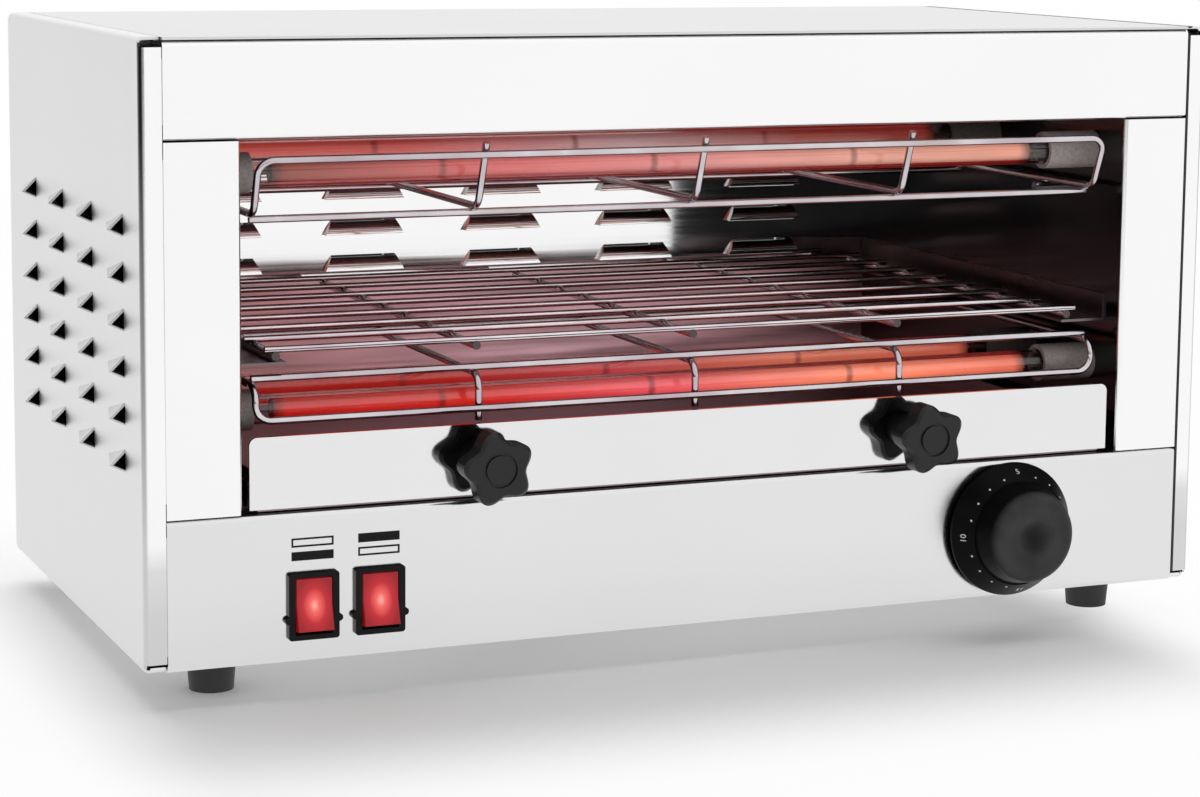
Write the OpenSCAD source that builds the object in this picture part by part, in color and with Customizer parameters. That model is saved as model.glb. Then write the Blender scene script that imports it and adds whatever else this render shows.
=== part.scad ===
// Open-front horizontal toaster with quartz tubes, a wire food grid and a crumb tray.
// Millimetres, +Z up, front towards -Y. The origin is on the table, midway under the whole object.

/* [Case] */
// Width over the side panels
case_w = 440; // [400:1:520]
// Depth from the front skins to the rear flanges
case_d = 225; // [200:1:300]
// Height from the bottom edge to the top cover
case_h = 228; // [205:1:280]
// Thickness of the stainless sheet
sheet_t = 1; // [0.8:0.1:1.4]
// Outside radius of the sheet bends
bend_r = 2; // [1.8:0.1:3]
// Width of the side panels' return flanges
flange_w = 8; // [7:0.5:12]
// Gap between neighbouring sheets
seam = 0.3; // [0.2:0.05:0.6]
// Corner relief between two flanges
relief = 3.5; // [3:0.25:5]
// Height of the control panel
panel_h = 55.5; // [54:0.5:70]
// Height of the fascia above the mouth
fascia_h = 36.7; // [30:0.1:40]
// Depth of the lips behind the front skins
lip_d = 12; // [10:0.5:16]
// Lap of the joint tongues behind a neighbouring sheet
lap = 6; // [4:0.5:9]
// Width of each side bay, from the outside to the chamber
side_bay = 36.5; // [34:0.5:45]
// Overhang of the deck and ceiling outside the chamber walls
shelf = 10; // [8:0.5:14]

/* [Side scoops] */
// Scoops along one row
scoop_cols = 4; // [1:1:4]
// Rows of scoops
scoop_rows = 6; // [1:1:6]
// Distance of the first mouth from the front
scoop_y = 27; // [20:1:40]
// Height of the lowest scoop
scoop_z = 72; // [50:1:80]
// Distance of the last scoop's tip from the rear
scoop_back = 24.9; // [20:0.1:40]
// Spacing of the rows
scoop_pitch_z = 17.2; // [12:0.1:20]
// Mouth above the scoop's ridge
scoop_up = 6.2; // [3:0.1:7]
// Mouth below the scoop's ridge
scoop_down = 2.9; // [2:0.1:4]
// Height of the ridge above the panel
scoop_rise = 5.8; // [3:0.1:7]
// Length of a scoop
scoop_len = 27; // [15:0.5:32]

/* [Back louvres] */
// Louvres in one row
louvre_cols = 5; // [1:1:5]
// Rows of louvres
louvre_rows = 3; // [1:1:4]
// Height of the lowest row
louvre_z = 114; // [90:1:116]
// Spacing along a row
louvre_pitch_x = 65; // [45:1:70]
// Spacing of the rows
louvre_pitch_z = 15.8; // [11:0.1:17]
// Width of a louvre
louvre_w = 36; // [20:1:40]
// Height of a louvre
louvre_h = 7; // [5:0.5:9]
// Depth of a louvre hood
louvre_d = 4; // [3:0.25:6]
// Slope of a louvre's ends, from its slot to its top
louvre_slope = 4; // [1:0.25:6]

/* [Tubes] */
// Outer diameter of a quartz tube
tube_d = 11; // [9:0.25:13]
// Wall of a quartz tube
tube_wall = 0.9; // [0.7:0.1:1.2]
// Diameter over the heating winding
coil_d = 7.6; // [5:0.1:8.4]
// Diameter of the leads
lead_d = 2; // [1.5:0.1:2.5]
// Distance of the front tubes from the front
tube_y = 25; // [22:0.5:35]
// Spacing of the upper tubes
upper_pitch = 80; // [60:1:95]
// Spacing of the lower tubes
lower_pitch = 46; // [40:1:95]
// Drop of the upper tubes below the ceiling
tube_drop = 14; // [12:0.1:17]
// Height of the lower tubes above the deck
tube_lift = 34.3; // [33:0.1:35]
// Unheated length at each end of a tube
tube_cold = 8; // [6:0.5:14]
// Shift of the tubes towards the left wall
tube_shift = 7; // [0:0.5:7]
// Diameter of a ceramic cap
cap_d = 15; // [14:0.25:16]
// Reach of a cap into the chamber
cap_in = 16.5; // [16:0.5:22]
// Reach of a cap into the side bay
cap_out = 9; // [6:0.5:14]
// Width of a cap's collar
cap_collar = 2; // [1.5:0.25:3]
// Depth of the tube seat in a cap
cap_seat = 10; // [6:0.5:12]
// Clearance of the tubes, leads and caps in their holes
tube_fit = 0.2; // [0.1:0.05:0.3]
// Width of the link straps
link_w = 8; // [6:0.5:10]

/* [Guards] */
// Wire of the guards
guard_d = 2.8; // [2.4:0.1:3.2]
// Gap from a guard's end to the chamber wall
guard_side = 7.5; // [6:0.5:10]
// Depth of the guards
guard_depth = 132; // [125:1:150]
// Drop of the upper guard below the ceiling
upper_drop = 28; // [26:0.1:32]
// Distance of the upper guard's bend from the front
upper_bend_y = 11; // [10:0.5:16]
// Height of the upper guard's front lip
upper_lip = 20.2; // [16:0.1:22]
// Distance of the upper guard's lip from the front
upper_lip_y = 3.5; // [3:0.5:6]
// Height of the lower guard above the deck
lower_lift = 45; // [44.5:0.1:46.5]
// Distance of the lower guard's front from the front
lower_bend_y = 9.5; // [9:0.25:11]
// Height of the lower guard's front drop
lower_drop = 12.5; // [11:0.1:16]
// Spacing of the guards' cross wires
cross_pitch = 89; // [60:1:100]
// Length of a cross wire past the guard's edge wire
cross_tail = 4.8; // [2.6:0.1:6]
// Bend radius of the guard wire at its centre line
wire_bend = 6; // [5:0.5:7]
// Diameter of the pins under the guards
pin_d = 4; // [3:0.25:5]
// Distance of the pins from the front
pin_y = 52; // [48:1:60]
// Depth of one wire's weld into another
weld = 0.5; // [0.3:0.05:0.7]

/* [Food grid] */
// Long wires of the grid
grid_wires = 8; // [4:1:14]
// Diameter of the long wires
grid_wire_d = 2.5; // [2:0.1:3.2]
// Diameter of the grid's cross wires
grid_cross_d = 3.2; // [2.6:0.1:4]
// Height of the rails' top face above the deck
rail_lift = 53.6; // [52:0.1:56]
// Distance of the first wire from the front
grid_y = 15; // [10:0.5:20]
// Gap from the last wire to the back panel
grid_back = 19.5; // [10:0.5:30]
// Gap from the grid's wire ends to the chamber wall
grid_side = 12.5; // [6:0.5:13]
// Inset of the outer cross wires from the wire ends
grid_inset = 4; // [3:0.5:5]
// Width of a rail's tread
rail_w = 20; // [19:0.5:24]
// Height of a rail's upright
rail_h = 11; // [8:0.5:16]

/* [Crumb tray] */
// Gap beside the tray's fascia
tray_gap = 3.2; // [2:0.1:6]
// Recess of the fascia behind the front plane
tray_recess = 3; // [2:0.25:4]
// Gap under the fascia
tray_under = 1.2; // [0.8:0.1:2]
// Height of the fascia
tray_face_h = 26.6; // [22:0.1:27]
// Rounding of the fascia's top corners
tray_round = 3; // [1:0.5:5]
// Height of the fascia's folded hem
tray_hem = 7; // [4:0.5:8]
// Height of the pan's walls
pan_h = 14; // [8:0.5:16]
// Running clearance of the tray on its deck and runners
tray_clear = 0.4; // [0.3:0.05:0.8]
// Width of a runner's foot
runner_w = 6; // [4:0.5:8]
// Height of a runner
runner_h = 10; // [6:0.5:14]
// Gap between the pan and the back panel
pan_back = 9; // [5:0.5:15]

/* [Star knobs] */
// Spacing of the two star knobs
star_pitch = 181; // [150:1:240]
// Diameter over the lobes
star_d = 28; // [24:0.5:30]
// Depth of the valleys between the lobes
star_valley = 3.4; // [2:0.1:5]
// Number of lobes
star_lobes = 5; // [3:1:8]
// Turn of the star about its axis
star_turn = 31; // [0:1:72]
// Thickness of the star head
star_t = 10.5; // [10:0.5:14]
// Length of the neck behind the head
star_neck = 8.5; // [8:0.5:16]
// Diameter of the neck
star_neck_d = 14; // [12:0.5:16]
// Diameter of the cap disc on the head
star_cap_d = 12; // [9:0.5:13]
// Edge taper of the head
star_edge = 1.4; // [0.8:0.1:2]
// Diameter of the stud in a knob
stud_d = 5; // [4:0.25:6]
// Diameter of the stud's head
stud_head_d = 9; // [8:0.25:10]
// Thickness of the stud's head
stud_head_t = 1.5; // [1:0.1:1.6]

/* [Timer] */
// Distance of the timer from the right side
timer_x = 87; // [80:0.1:100]
// Height of the timer's axis
timer_z = 28; // [26:0.1:28]
// Diameter of the knob's skirt
skirt_d = 54; // [44:0.5:54]
// Height of the conical skirt
skirt_t = 9; // [6:0.1:10]
// Thickness of the skirt's rim
skirt_edge = 1.2; // [0.8:0.1:2]
// Gap between the skirt and the panel
skirt_gap = 2.6; // [2.4:0.1:3.5]
// Diameter of the knob's body at the skirt
knob_base_d = 41; // [38:0.5:43]
// Diameter of the knob's front face
knob_face_d = 37; // [32:0.5:37]
// Height of the knob's body
knob_h = 11.4; // [8:0.1:20]
// Rounding of the knob's front edge
knob_round = 4; // [1:0.25:5]
// Diameter of the dish in the front face
knob_recess_d = 17; // [12:0.5:20]
// Depth of that dish
knob_recess = 2.6; // [1:0.1:3]
// Diameter of the timer's shaft
shaft_d = 6; // [5:0.1:6.4]
// Radial running fit of shafts and pivots
run_fit = 0.05; // [0.02:0.01:0.09]
// Width of the timer's housing
timer_w = 44; // [38:0.5:46]
// Depth of the timer's housing
timer_d = 30; // [24:1:40]
// Spacing of the timer's screws
timer_screw_pitch = 28; // [24:0.5:31]

/* [Switches] */
// Distance of the outer switch from the left side
switch_x = 62.4; // [56:0.1:70]
// Spacing of the switches
switch_pitch = 25.4; // [23:0.1:30]
// Height of the switches' centre
switch_z = 20.8; // [18:0.1:26]
// Width of a bezel
bezel_w = 19.2; // [18.5:0.1:21]
// Height of a bezel
bezel_h = 25; // [24.5:0.1:28]
// Depth of a bezel in front of the panel
bezel_t = 2; // [1.5:0.1:2.4]
// Rounding of a bezel's corners
bezel_round = 1.2; // [0.6:0.1:2]
// Radius of the grip nubs beside a bezel
nub_r = 1.4; // [1:0.1:1.8]
// Drop of the nubs below the centre
nub_drop = 5; // [3:0.25:7]
// Width of a switch housing behind the panel
switch_w = 16.8; // [16:0.1:17.4]
// Height of a switch housing behind the panel
switch_h = 22.6; // [22.2:0.1:23.5]
// Depth of a switch housing
switch_d = 19; // [14:0.5:24]
// Width of a rocker
rocker_w = 13.4; // [12:0.1:13.6]
// Height of a rocker
rocker_h = 19.2; // [17:0.1:19.4]
// Tilt of a rocker at each end of its travel
rocker_tilt = 9; // [6:0.5:9.5]
// Reach of a rocker's tips in front of its pivot
rocker_tip = 4.5; // [3.5:0.1:4.8]
// Hollow of a rocker's face
rocker_dish = 1.3; // [0.5:0.1:1.6]
// Depth of the pivot behind the front plane
pivot_in = 1; // [0.6:0.1:1.5]
// Diameter of a rocker's pivot
pivot_d = 2.4; // [2:0.1:3]
// Clearance around a rocker
rocker_clear = 0.4; // [0.3:0.05:0.6]

/* [Feet and fittings] */
// Height of a foot
foot_h = 14; // [10:0.5:25]
// Diameter of a foot at the case
foot_top_d = 19; // [18:0.5:24]
// Diameter of a foot's sole
foot_sole_d = 16.5; // [15:0.5:20]
// Distance of the feet from the sides
foot_x = 31.5; // [26:0.5:45]
// Distance of the feet from the front and rear
foot_y = 27; // [26:0.5:40]
// Diameter of the screws in the feet
foot_screw_d = 4; // [3:0.1:4.5]
// Distance of the cable gland from the right side
gland_x = 70; // [60:1:90]
// Height of the cable gland
gland_z = 28; // [22:0.5:34]
// Outer diameter of the gland
gland_d = 20; // [17:0.5:24]
// Reach of the gland behind the case
gland_out = 14; // [10:0.5:18]
// Bore of the gland
gland_bore = 8; // [6:0.25:9]
// Diameter of the gland's thread
gland_thread = 15; // [13:0.25:16]
// Length of the terminal block
block_w = 46; // [30:1:60]
// Depth of the terminal block
block_d = 22; // [18:0.5:26]
// Height of the terminal block
block_h = 15; // [12:0.5:20]
// Height of the terminal block's base
block_base = 8; // [5:0.5:9]
// Distance of the terminal block from the rear
block_back = 60; // [50:1:70]
// Diameter of the rear screws' heads
screw_head_d = 6; // [5:0.25:7]
// Diameter of the rear screws' shanks
screw_d = 3; // [2.5:0.1:3.5]
// Distance of the rear screws from the top and bottom edges
screw_edge = 25; // [15:1:40]

/* [Hidden] */
$fn = 48;
hw = case_w / 2;
chamber_hw = hw - side_bay;
skin_hw = hw - flange_w - seam;
tongue_hw = hw - bend_r - seam;
deck_z = panel_h;
ceiling_z = case_h - fascia_h;
back_y = case_d - 2 * sheet_t;
scoop_pitch_y = (case_d - scoop_back - scoop_len - scoop_y) / max(1, scoop_cols - 1);
grid_pitch = (back_y - grid_back - grid_y) / (grid_wires - 1);
knob_reach = skirt_gap + skirt_t + knob_h;
front_y = (knob_reach - case_d - gland_out) / 2;
wall_out = chamber_hw + sheet_t;
upper_z = ceiling_z - tube_drop;
lower_z = deck_z + tube_lift;
upper_rear_y = tube_y + upper_pitch;
lower_rear_y = tube_y + lower_pitch;
cap_inner = chamber_hw - cap_in;
tube_half = cap_inner + cap_seat;
coil_half = cap_inner - tube_cold;
link_x = wall_out + cap_out;
lead_half = link_x + sheet_t + 2;
upper_plane = ceiling_z - upper_drop;
lower_plane = deck_z + lower_lift;
guard_r = guard_d / 2;
guard_hw = chamber_hw - guard_side;
rail_z = deck_z + rail_lift;
grid_cross_z = rail_z + seam + grid_cross_d / 2;
grid_z = grid_cross_z + (grid_cross_d + grid_wire_d) / 2 - weld;
grid_hw = chamber_hw - grid_side;
face_hw = chamber_hw - tray_gap;
face_z = deck_z + tray_under;
pan_y = tray_recess + sheet_t;
pan_z = deck_z + tray_clear;
pan_hw = chamber_hw - runner_w - tray_clear;
pan_end = back_y - pan_back;
star_z = face_z + tray_face_h / 2 - 1;
timer_cx = hw - timer_x;
switch_left_x = switch_x - hw;
switch_right_x = switch_left_x + switch_pitch;
bezel_mouth_w = rocker_w + 2 * rocker_clear;
bezel_mouth_h = 2 * (rocker_h / 2 * cos(rocker_tilt) + rocker_tip * sin(rocker_tilt) + rocker_clear);
rocker_back = 3.5;
well_d = pivot_in + rocker_back + 2;
foot_cx = hw - foot_x;
foot_screw_head = 4;
gland_cx = hw - gland_x;
bend_lap = 0.3;
bend_thin = 0.05;

// Places and extrusions

// The case's own frame: front plane at y = 0, bottom edge at z = 0
module in_case() translate([0, front_y, foot_h]) children();

// A right-hand piece, mirrored for the left side
module on_side(side) mirror([side < 0 ? 1 : 0, 0, 0]) children();

// A (y, z) profile swept across the width w
module across(w) translate([-w / 2, 0, 0]) rotate([90, 0, 90]) linear_extrude(w) children();

// An (x, z) profile swept backwards from y0
module backwards(y0, len) translate([0, y0 + len, 0]) rotate([90, 0, 0]) linear_extrude(len) children();

// A solid turned about an axis that points out of the front
module facing_front() rotate([90, 0, 0]) children();

// A box centred on x = 0
module mid_box(w, y0, y1, z0, z1) translate([-w / 2, y0, z0]) cube([w, y1 - y0, z1 - z0]);

// Sheet bends

module quarter_ring(turn) {
    rotate(turn) intersection() {
        difference() {
            circle(bend_r);
            circle(bend_r - sheet_t);
        }
        square(bend_r);
    }
}

// Front skin with a lip folded back along its top and bottom edges
module channel_2d(h) {
    translate([0, bend_r]) square([sheet_t, h - 2 * bend_r]);
    for (edge = [0, h - sheet_t]) translate([bend_r, edge]) square([lip_d - bend_r, sheet_t]);
    translate([bend_r, bend_r]) quarter_ring(180);
    translate([bend_r, h - bend_r]) quarter_ring(90);
}

// A side panel's web with its two opposite flanges and their bends
module flanges_2d(span) {
    translate([hw - sheet_t, bend_r]) square([sheet_t, span - 2 * bend_r]);
    for (edge = [0, span - sheet_t])
        translate([hw - flange_w, edge]) square([flange_w - bend_r, sheet_t]);
    translate([hw - bend_r, bend_r]) quarter_ring(270);
    translate([hw - bend_r, span - bend_r]) quarter_ring(0);
}

// Strips behind a front skin that lap the side panels' flanges
module front_tongues(z0, z1) {
    for (side = [-1, 1]) on_side(side)
        translate([skin_hw - lap, sheet_t, z0]) cube([tongue_hw - skin_hw + lap, sheet_t, z1 - z0]);
}

// Side panels

// Four-sided nose pressed out of the panel, open towards the front
module scoop_nose() {
    polyhedron(
        points = [
            [0, 0, -scoop_down], [0, 0, scoop_up],
            [scoop_rise + sheet_t / 2, 0, 0], [0, scoop_len, 0]],
        faces = [[0, 1, 2], [0, 3, 1], [0, 2, 3], [1, 3, 2]]);
}

module scoop_pattern() {
    for (i = [0 : scoop_cols - 1], k = [0 : scoop_rows - 1])
        translate([hw - sheet_t / 2, scoop_y + i * scoop_pitch_y, scoop_z + k * scoop_pitch_z]) children();
}

module side_panel(side) {
    color([0.86, 0.86, 0.87]) in_case() on_side(side) difference() {
        union() {
            translate([hw - sheet_t, bend_r, bend_r])
                cube([sheet_t, case_d - 2 * bend_r, case_h - 2 * bend_r]);
            translate([0, 0, relief]) linear_extrude(case_h - 2 * relief) flanges_2d(case_d);
            backwards(relief, case_d - 2 * relief) flanges_2d(case_h);
            scoop_pattern() scoop_nose();
        }
        scoop_pattern() translate([-1.2 * sheet_t, -0.6 * sheet_t, 0]) scoop_nose();
        back_screw_holes();
    }
}
module side_panel_left() side_panel(-1);
module side_panel_right() side_panel(1);

// Case skins

module top_cover() {
    color([0.93, 0.93, 0.94]) in_case() {
        mid_box(2 * skin_hw, 0, case_d, case_h - sheet_t, case_h);
        for (side = [-1, 1]) on_side(side)
            translate([skin_hw - lap, lip_d + relief, case_h - 2 * sheet_t])
                cube([tongue_hw - skin_hw + lap, case_d - 2 * lip_d - 2 * relief, sheet_t]);
    }
}

module upper_fascia() {
    top = case_h - sheet_t - seam;
    color([0.95, 0.95, 0.96]) in_case() {
        translate([0, 0, ceiling_z]) across(2 * skin_hw) channel_2d(top - ceiling_z);
        front_tongues(ceiling_z + lap, top - lap);
    }
}

module switch_cutout(x) {
    translate([x - switch_w / 2 - seam, -1, switch_z - switch_h / 2 - seam])
        cube([switch_w + 2 * seam, sheet_t + 2, switch_h + 2 * seam]);
}

module control_panel() {
    color([0.90, 0.90, 0.91]) in_case() difference() {
        union() {
            across(2 * skin_hw) channel_2d(panel_h);
            front_tongues(lap, panel_h - lap);
        }
        switch_cutout(switch_left_x);
        switch_cutout(switch_right_x);
        translate([timer_cx, 2 * sheet_t, timer_z]) facing_front()
            cylinder(d = shaft_d + 2, h = 4 * sheet_t);
        timer_screw_places() translate([0, 2 * sheet_t, 0]) facing_front()
            cylinder(d = screw_d + 2 * run_fit, h = 4 * sheet_t);
    }
}

module foot_places() {
    for (sx = [-1, 1], y = [foot_y, case_d - foot_y]) translate([sx * foot_cx, y, 0]) children();
}

module base_plate() {
    color([0.80, 0.80, 0.82]) in_case() difference() {
        mid_box(2 * tongue_hw, bend_r + seam, back_y - seam, sheet_t, 2 * sheet_t);
        foot_places() cylinder(d = foot_screw_d + 2 * run_fit, h = 4 * sheet_t);
    }
}

// Back panel

// Hood profile of a louvre, with its slot along the bottom edge. The hoods are pressed inwards,
// so the rear stays flat.
module louvre_2d() {
    arc = (louvre_h * louvre_h + louvre_d * louvre_d) / (2 * louvre_d);
    intersection() {
        translate([louvre_d - arc, 0]) circle(arc);
        translate([-sheet_t / 2, 0]) square([louvre_d + sheet_t, louvre_h]);
    }
}

// Louvre hood with sloping ends, seen as a trapezium from the front
module louvre_hood(w) {
    intersection() {
        across(w) louvre_2d();
        translate([0, louvre_d + sheet_t, 0]) rotate([90, 0, 0]) linear_extrude(2 * louvre_d + 2 * sheet_t)
            polygon([[-w / 2, -1], [w / 2, -1], [w / 2, 0], [w / 2 - louvre_slope, louvre_h + 1],
                [louvre_slope - w / 2, louvre_h + 1], [-w / 2, 0]]);
    }
}

module louvre_pattern() {
    mid = (louvre_cols - 1) / 2;
    for (i = [0 : louvre_cols - 1], k = [0 : louvre_rows - 1])
        translate([(i - mid) * louvre_pitch_x, back_y + sheet_t / 2, louvre_z + k * louvre_pitch_z])
            mirror([0, 1, 0]) children();
}

module back_screw_places() {
    for (z = [screw_edge, case_h / 2, case_h - screw_edge])
        translate([hw - bend_r - screw_head_d / 2, case_d, z]) children();
}

module back_screw_holes() {
    back_screw_places() rotate([90, 0, 0]) translate([0, 0, -1])
        cylinder(d = screw_d + 2 * run_fit, h = 2 * sheet_t + 2);
}

module back_panel() {
    color([0.84, 0.84, 0.85]) in_case() difference() {
        union() {
            mid_box(2 * tongue_hw, back_y, back_y + sheet_t, 2 * sheet_t, case_h - 2 * sheet_t);
            louvre_pattern() louvre_hood(louvre_w);
        }
        louvre_pattern() translate([0, -1.2 * sheet_t, -0.5 * sheet_t])
            louvre_hood(louvre_w - 2 * sheet_t);
        for (side = [-1, 1]) on_side(side) back_screw_holes();
        translate([gland_cx, case_d, gland_z]) rotate([90, 0, 0])
            cylinder(d = gland_thread + 2 * seam, h = 4 * sheet_t);
    }
}

// Chamber

module guard_end_hole(z) {
    translate([chamber_hw - 2, guard_depth, z]) rotate([0, 90, 0])
        cylinder(d = guard_d + 2 * seam, h = sheet_t + 4);
}

module tube_axis_places() {
    for (y = [tube_y, upper_rear_y]) translate([0, y, upper_z]) children();
    for (y = [tube_y, lower_rear_y]) translate([0, y, lower_z]) children();
}

module chamber_wall(side) {
    post_z0 = deck_z + seam;
    post_z1 = ceiling_z - seam;
    color([0.92, 0.92, 0.93]) in_case() on_side(side) difference() {
        union() {
            translate([chamber_hw, bend_r, deck_z]) cube([sheet_t, back_y - bend_r, ceiling_z - deck_z]);
            translate([0, 0, post_z0]) linear_extrude(post_z1 - post_z0) {
                translate([chamber_hw, bend_r]) square([sheet_t, lip_d]);
                translate([chamber_hw + bend_r, bend_r]) quarter_ring(180);
                translate([chamber_hw + bend_r, 0]) square([skin_hw - chamber_hw - bend_r, sheet_t]);
            }
            translate([skin_hw - lap, sheet_t, post_z0 + lap])
                cube([tongue_hw - skin_hw + lap, sheet_t, post_z1 - post_z0 - 2 * lap]);
            translate([wall_out, back_y - sheet_t, deck_z]) cube([shelf, sheet_t, ceiling_z - deck_z]);
        }
        tube_axis_places() translate([chamber_hw - 2, 0, 0]) rotate([0, 90, 0])
            cylinder(d = cap_d + 2 * tube_fit, h = sheet_t + 4);
        guard_end_hole(upper_plane);
        guard_end_hole(lower_plane);
    }
}
module chamber_wall_left() chamber_wall(-1);
module chamber_wall_right() chamber_wall(1);

module chamber_ceiling() {
    color([0.88, 0.88, 0.89]) in_case()
        mid_box(2 * (wall_out + shelf), lip_d + seam, back_y, ceiling_z, ceiling_z + sheet_t);
}

module chamber_deck() {
    color([0.84, 0.84, 0.85]) in_case()
        mid_box(2 * (wall_out + shelf), lip_d + seam, back_y, deck_z - sheet_t, deck_z);
}

module tray_runner(side) {
    color([0.80, 0.80, 0.82]) in_case() on_side(side) {
        inner = chamber_hw - runner_w;
        translate([inner, lip_d + seam, deck_z]) cube([runner_w, pan_end - lip_d, sheet_t]);
        translate([inner, lip_d + seam, deck_z]) cube([sheet_t, pan_end - lip_d, runner_h]);
    }
}
module tray_runner_left() tray_runner(-1);
module tray_runner_right() tray_runner(1);

module grid_rail(side) {
    color([0.80, 0.80, 0.82]) in_case() on_side(side) {
        len = back_y - seam - lip_d;
        translate([chamber_hw - rail_w, lip_d, rail_z - sheet_t]) cube([rail_w, len, sheet_t]);
        translate([chamber_hw - sheet_t, lip_d, rail_z - sheet_t]) cube([sheet_t, len, rail_h]);
    }
}
module grid_rail_left() grid_rail(-1);
module grid_rail_right() grid_rail(1);

// Wires

function unit(v) = v / norm(v);
function turn_at(a, b, c) = acos(unit(b - a) * unit(c - b));
function setback(pts, i, bend) =
    (i == 0 || i == len(pts) - 1) ? 0 : bend * tan(turn_at(pts[i - 1], pts[i], pts[i + 1]) / 2);

module rod(a, b, r) {
    d = b - a;
    translate(a) rotate([0, acos(d.z / norm(d)), atan2(d.y, d.x)]) cylinder(r = r, h = norm(d));
}

// Round bend between the directions into and out of the corner b
module elbow(a, b, c, r, bend) {
    u = unit(b - a);
    v = unit(c - b);
    n = unit(v - (v * u) * u);
    w = cross(u, n);
    o = b - bend * tan(turn_at(a, b, c) / 2) * u + bend * n;
    multmatrix([
        [-n.x, u.x, w.x, o.x],
        [-n.y, u.y, w.y, o.y],
        [-n.z, u.z, w.z, o.z],
        [0, 0, 0, 1]])
        rotate_extrude(angle = turn_at(a, b, c)) translate([bend, 0]) circle(r);
}

// One wire along a line of points, with a round bend at each inner point.
// The wire is a little thinner round a bend, where the straight lengths lap over it.
module wire(pts, r, bend) {
    last = len(pts) - 1;
    for (i = [0 : last - 1]) {
        u = unit(pts[i + 1] - pts[i]);
        from = i == 0 ? 0 : setback(pts, i, bend) - bend_lap;
        to = i + 1 == last ? 0 : setback(pts, i + 1, bend) - bend_lap;
        rod(pts[i] + from * u, pts[i + 1] - to * u, r);
    }
    for (i = [1 : last - 1]) elbow(pts[i - 1], pts[i], pts[i + 1], r - bend_thin, bend);
}

// Welded guard: a flat field of wires along the tubes that turns into a lip in front of them.
// The field wires lie on the food's side, and the rim's ends spring into the chamber walls.
module guard(plane, bend_y, edge_y, edge_z, food) {
    end_hw = wall_out + 4;
    toward = unit([0, edge_y - bend_y, edge_z - plane]);
    field_z = plane + food * (guard_d - weld);
    rim = [
        [-end_hw, guard_depth, plane], [-guard_hw, guard_depth, plane], [-guard_hw, bend_y, plane],
        [-guard_hw, edge_y, edge_z], [guard_hw, edge_y, edge_z], [guard_hw, bend_y, plane],
        [guard_hw, guard_depth, plane], [end_hw, guard_depth, plane]
    ];
    wire(rim, guard_r, wire_bend);
    for (y = [bend_y + wire_bend, guard_depth - 2 * wire_bend])
        rod([-guard_hw, y, field_z], [guard_hw, y, field_z], guard_r);
    for (x = [-cross_pitch, 0, cross_pitch]) {
        tip = [x, edge_y, edge_z] + cross_tail * toward + [0, guard_d - weld, 0];
        corner = [x, bend_y + guard_d - weld, plane];
        wire([tip, corner, [x, guard_depth - wire_bend, plane]], guard_r, wire_bend);
    }
}

module upper_guard() {
    color([0.75, 0.73, 0.75]) in_case()
        guard(upper_plane, upper_bend_y, upper_lip_y, upper_plane + upper_lip, -1);
}

module lower_guard() {
    color([0.75, 0.73, 0.75]) in_case()
        guard(lower_plane, lower_bend_y, lower_bend_y, lower_plane - lower_drop, 1);
}

module guard_pins() {
    color([0.72, 0.72, 0.74]) in_case()
        for (side = [-1, 1], plane = [upper_plane, lower_plane]) on_side(side)
        translate([guard_hw - guard_d, pin_y, plane - guard_r - seam - pin_d / 2]) rotate([0, 90, 0])
            cylinder(d = pin_d, h = chamber_hw - guard_hw + guard_d);
}

// Food grid, with its cross wires under the long wires
module food_grid() {
    last_y = grid_y + (grid_wires - 1) * grid_pitch;
    color([0.76, 0.74, 0.76]) in_case() {
        for (i = [0 : grid_wires - 1])
            rod([-grid_hw, grid_y + i * grid_pitch, grid_z], [grid_hw, grid_y + i * grid_pitch, grid_z],
                grid_wire_d / 2);
        for (x = [-grid_hw + grid_inset, -cross_pitch, 0, cross_pitch, grid_hw - grid_inset])
            rod([x, grid_y - grid_wire_d / 2, grid_cross_z], [x, last_y + grid_wire_d / 2, grid_cross_z],
                grid_cross_d / 2);
    }
}

// Heating tubes

module tube_at(y, z) in_case() translate([0, y, z]) rotate([0, 90, 0]) children();

module quartz_tube(y, z) {
    color([0.95, 0.55, 0.45, 0.5]) tube_at(y, z) translate([0, 0, -tube_shift]) difference() {
        cylinder(d = tube_d, h = 2 * tube_half, center = true);
        cylinder(d = tube_d - 2 * tube_wall, h = 2 * tube_half + 2, center = true);
    }
}
module quartz_tube_upper_front() quartz_tube(tube_y, upper_z);
module quartz_tube_upper_rear() quartz_tube(upper_rear_y, upper_z);
module quartz_tube_lower_front() quartz_tube(tube_y, lower_z);
module quartz_tube_lower_rear() quartz_tube(lower_rear_y, lower_z);

// Outer shape of the winding, with a straight lead at each end
module heating_coil(y, z) {
    color([1, 0.35, 0.15]) tube_at(y, z) {
        translate([0, 0, -tube_shift]) cylinder(d = coil_d, h = 2 * coil_half, center = true);
        cylinder(d = lead_d, h = 2 * lead_half, center = true);
    }
}
module heating_coil_upper_front() heating_coil(tube_y, upper_z);
module heating_coil_upper_rear() heating_coil(upper_rear_y, upper_z);
module heating_coil_lower_front() heating_coil(tube_y, lower_z);
module heating_coil_lower_rear() heating_coil(lower_rear_y, lower_z);

// One end cap, whose mouth stands at the given distance from the middle of the case
module tube_cap(mouth) {
    difference() {
        union() {
            translate([0, 0, mouth]) cylinder(d = cap_d, h = link_x - mouth);
            translate([0, 0, wall_out]) cylinder(d = cap_d + 2 * cap_collar, h = cap_out / 3);
        }
        translate([0, 0, mouth - 1]) cylinder(d = tube_d + 2 * tube_fit, h = cap_seat + 1);
        translate([0, 0, mouth]) cylinder(d = lead_d + 2 * tube_fit, h = link_x - mouth + 1);
    }
}

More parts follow.
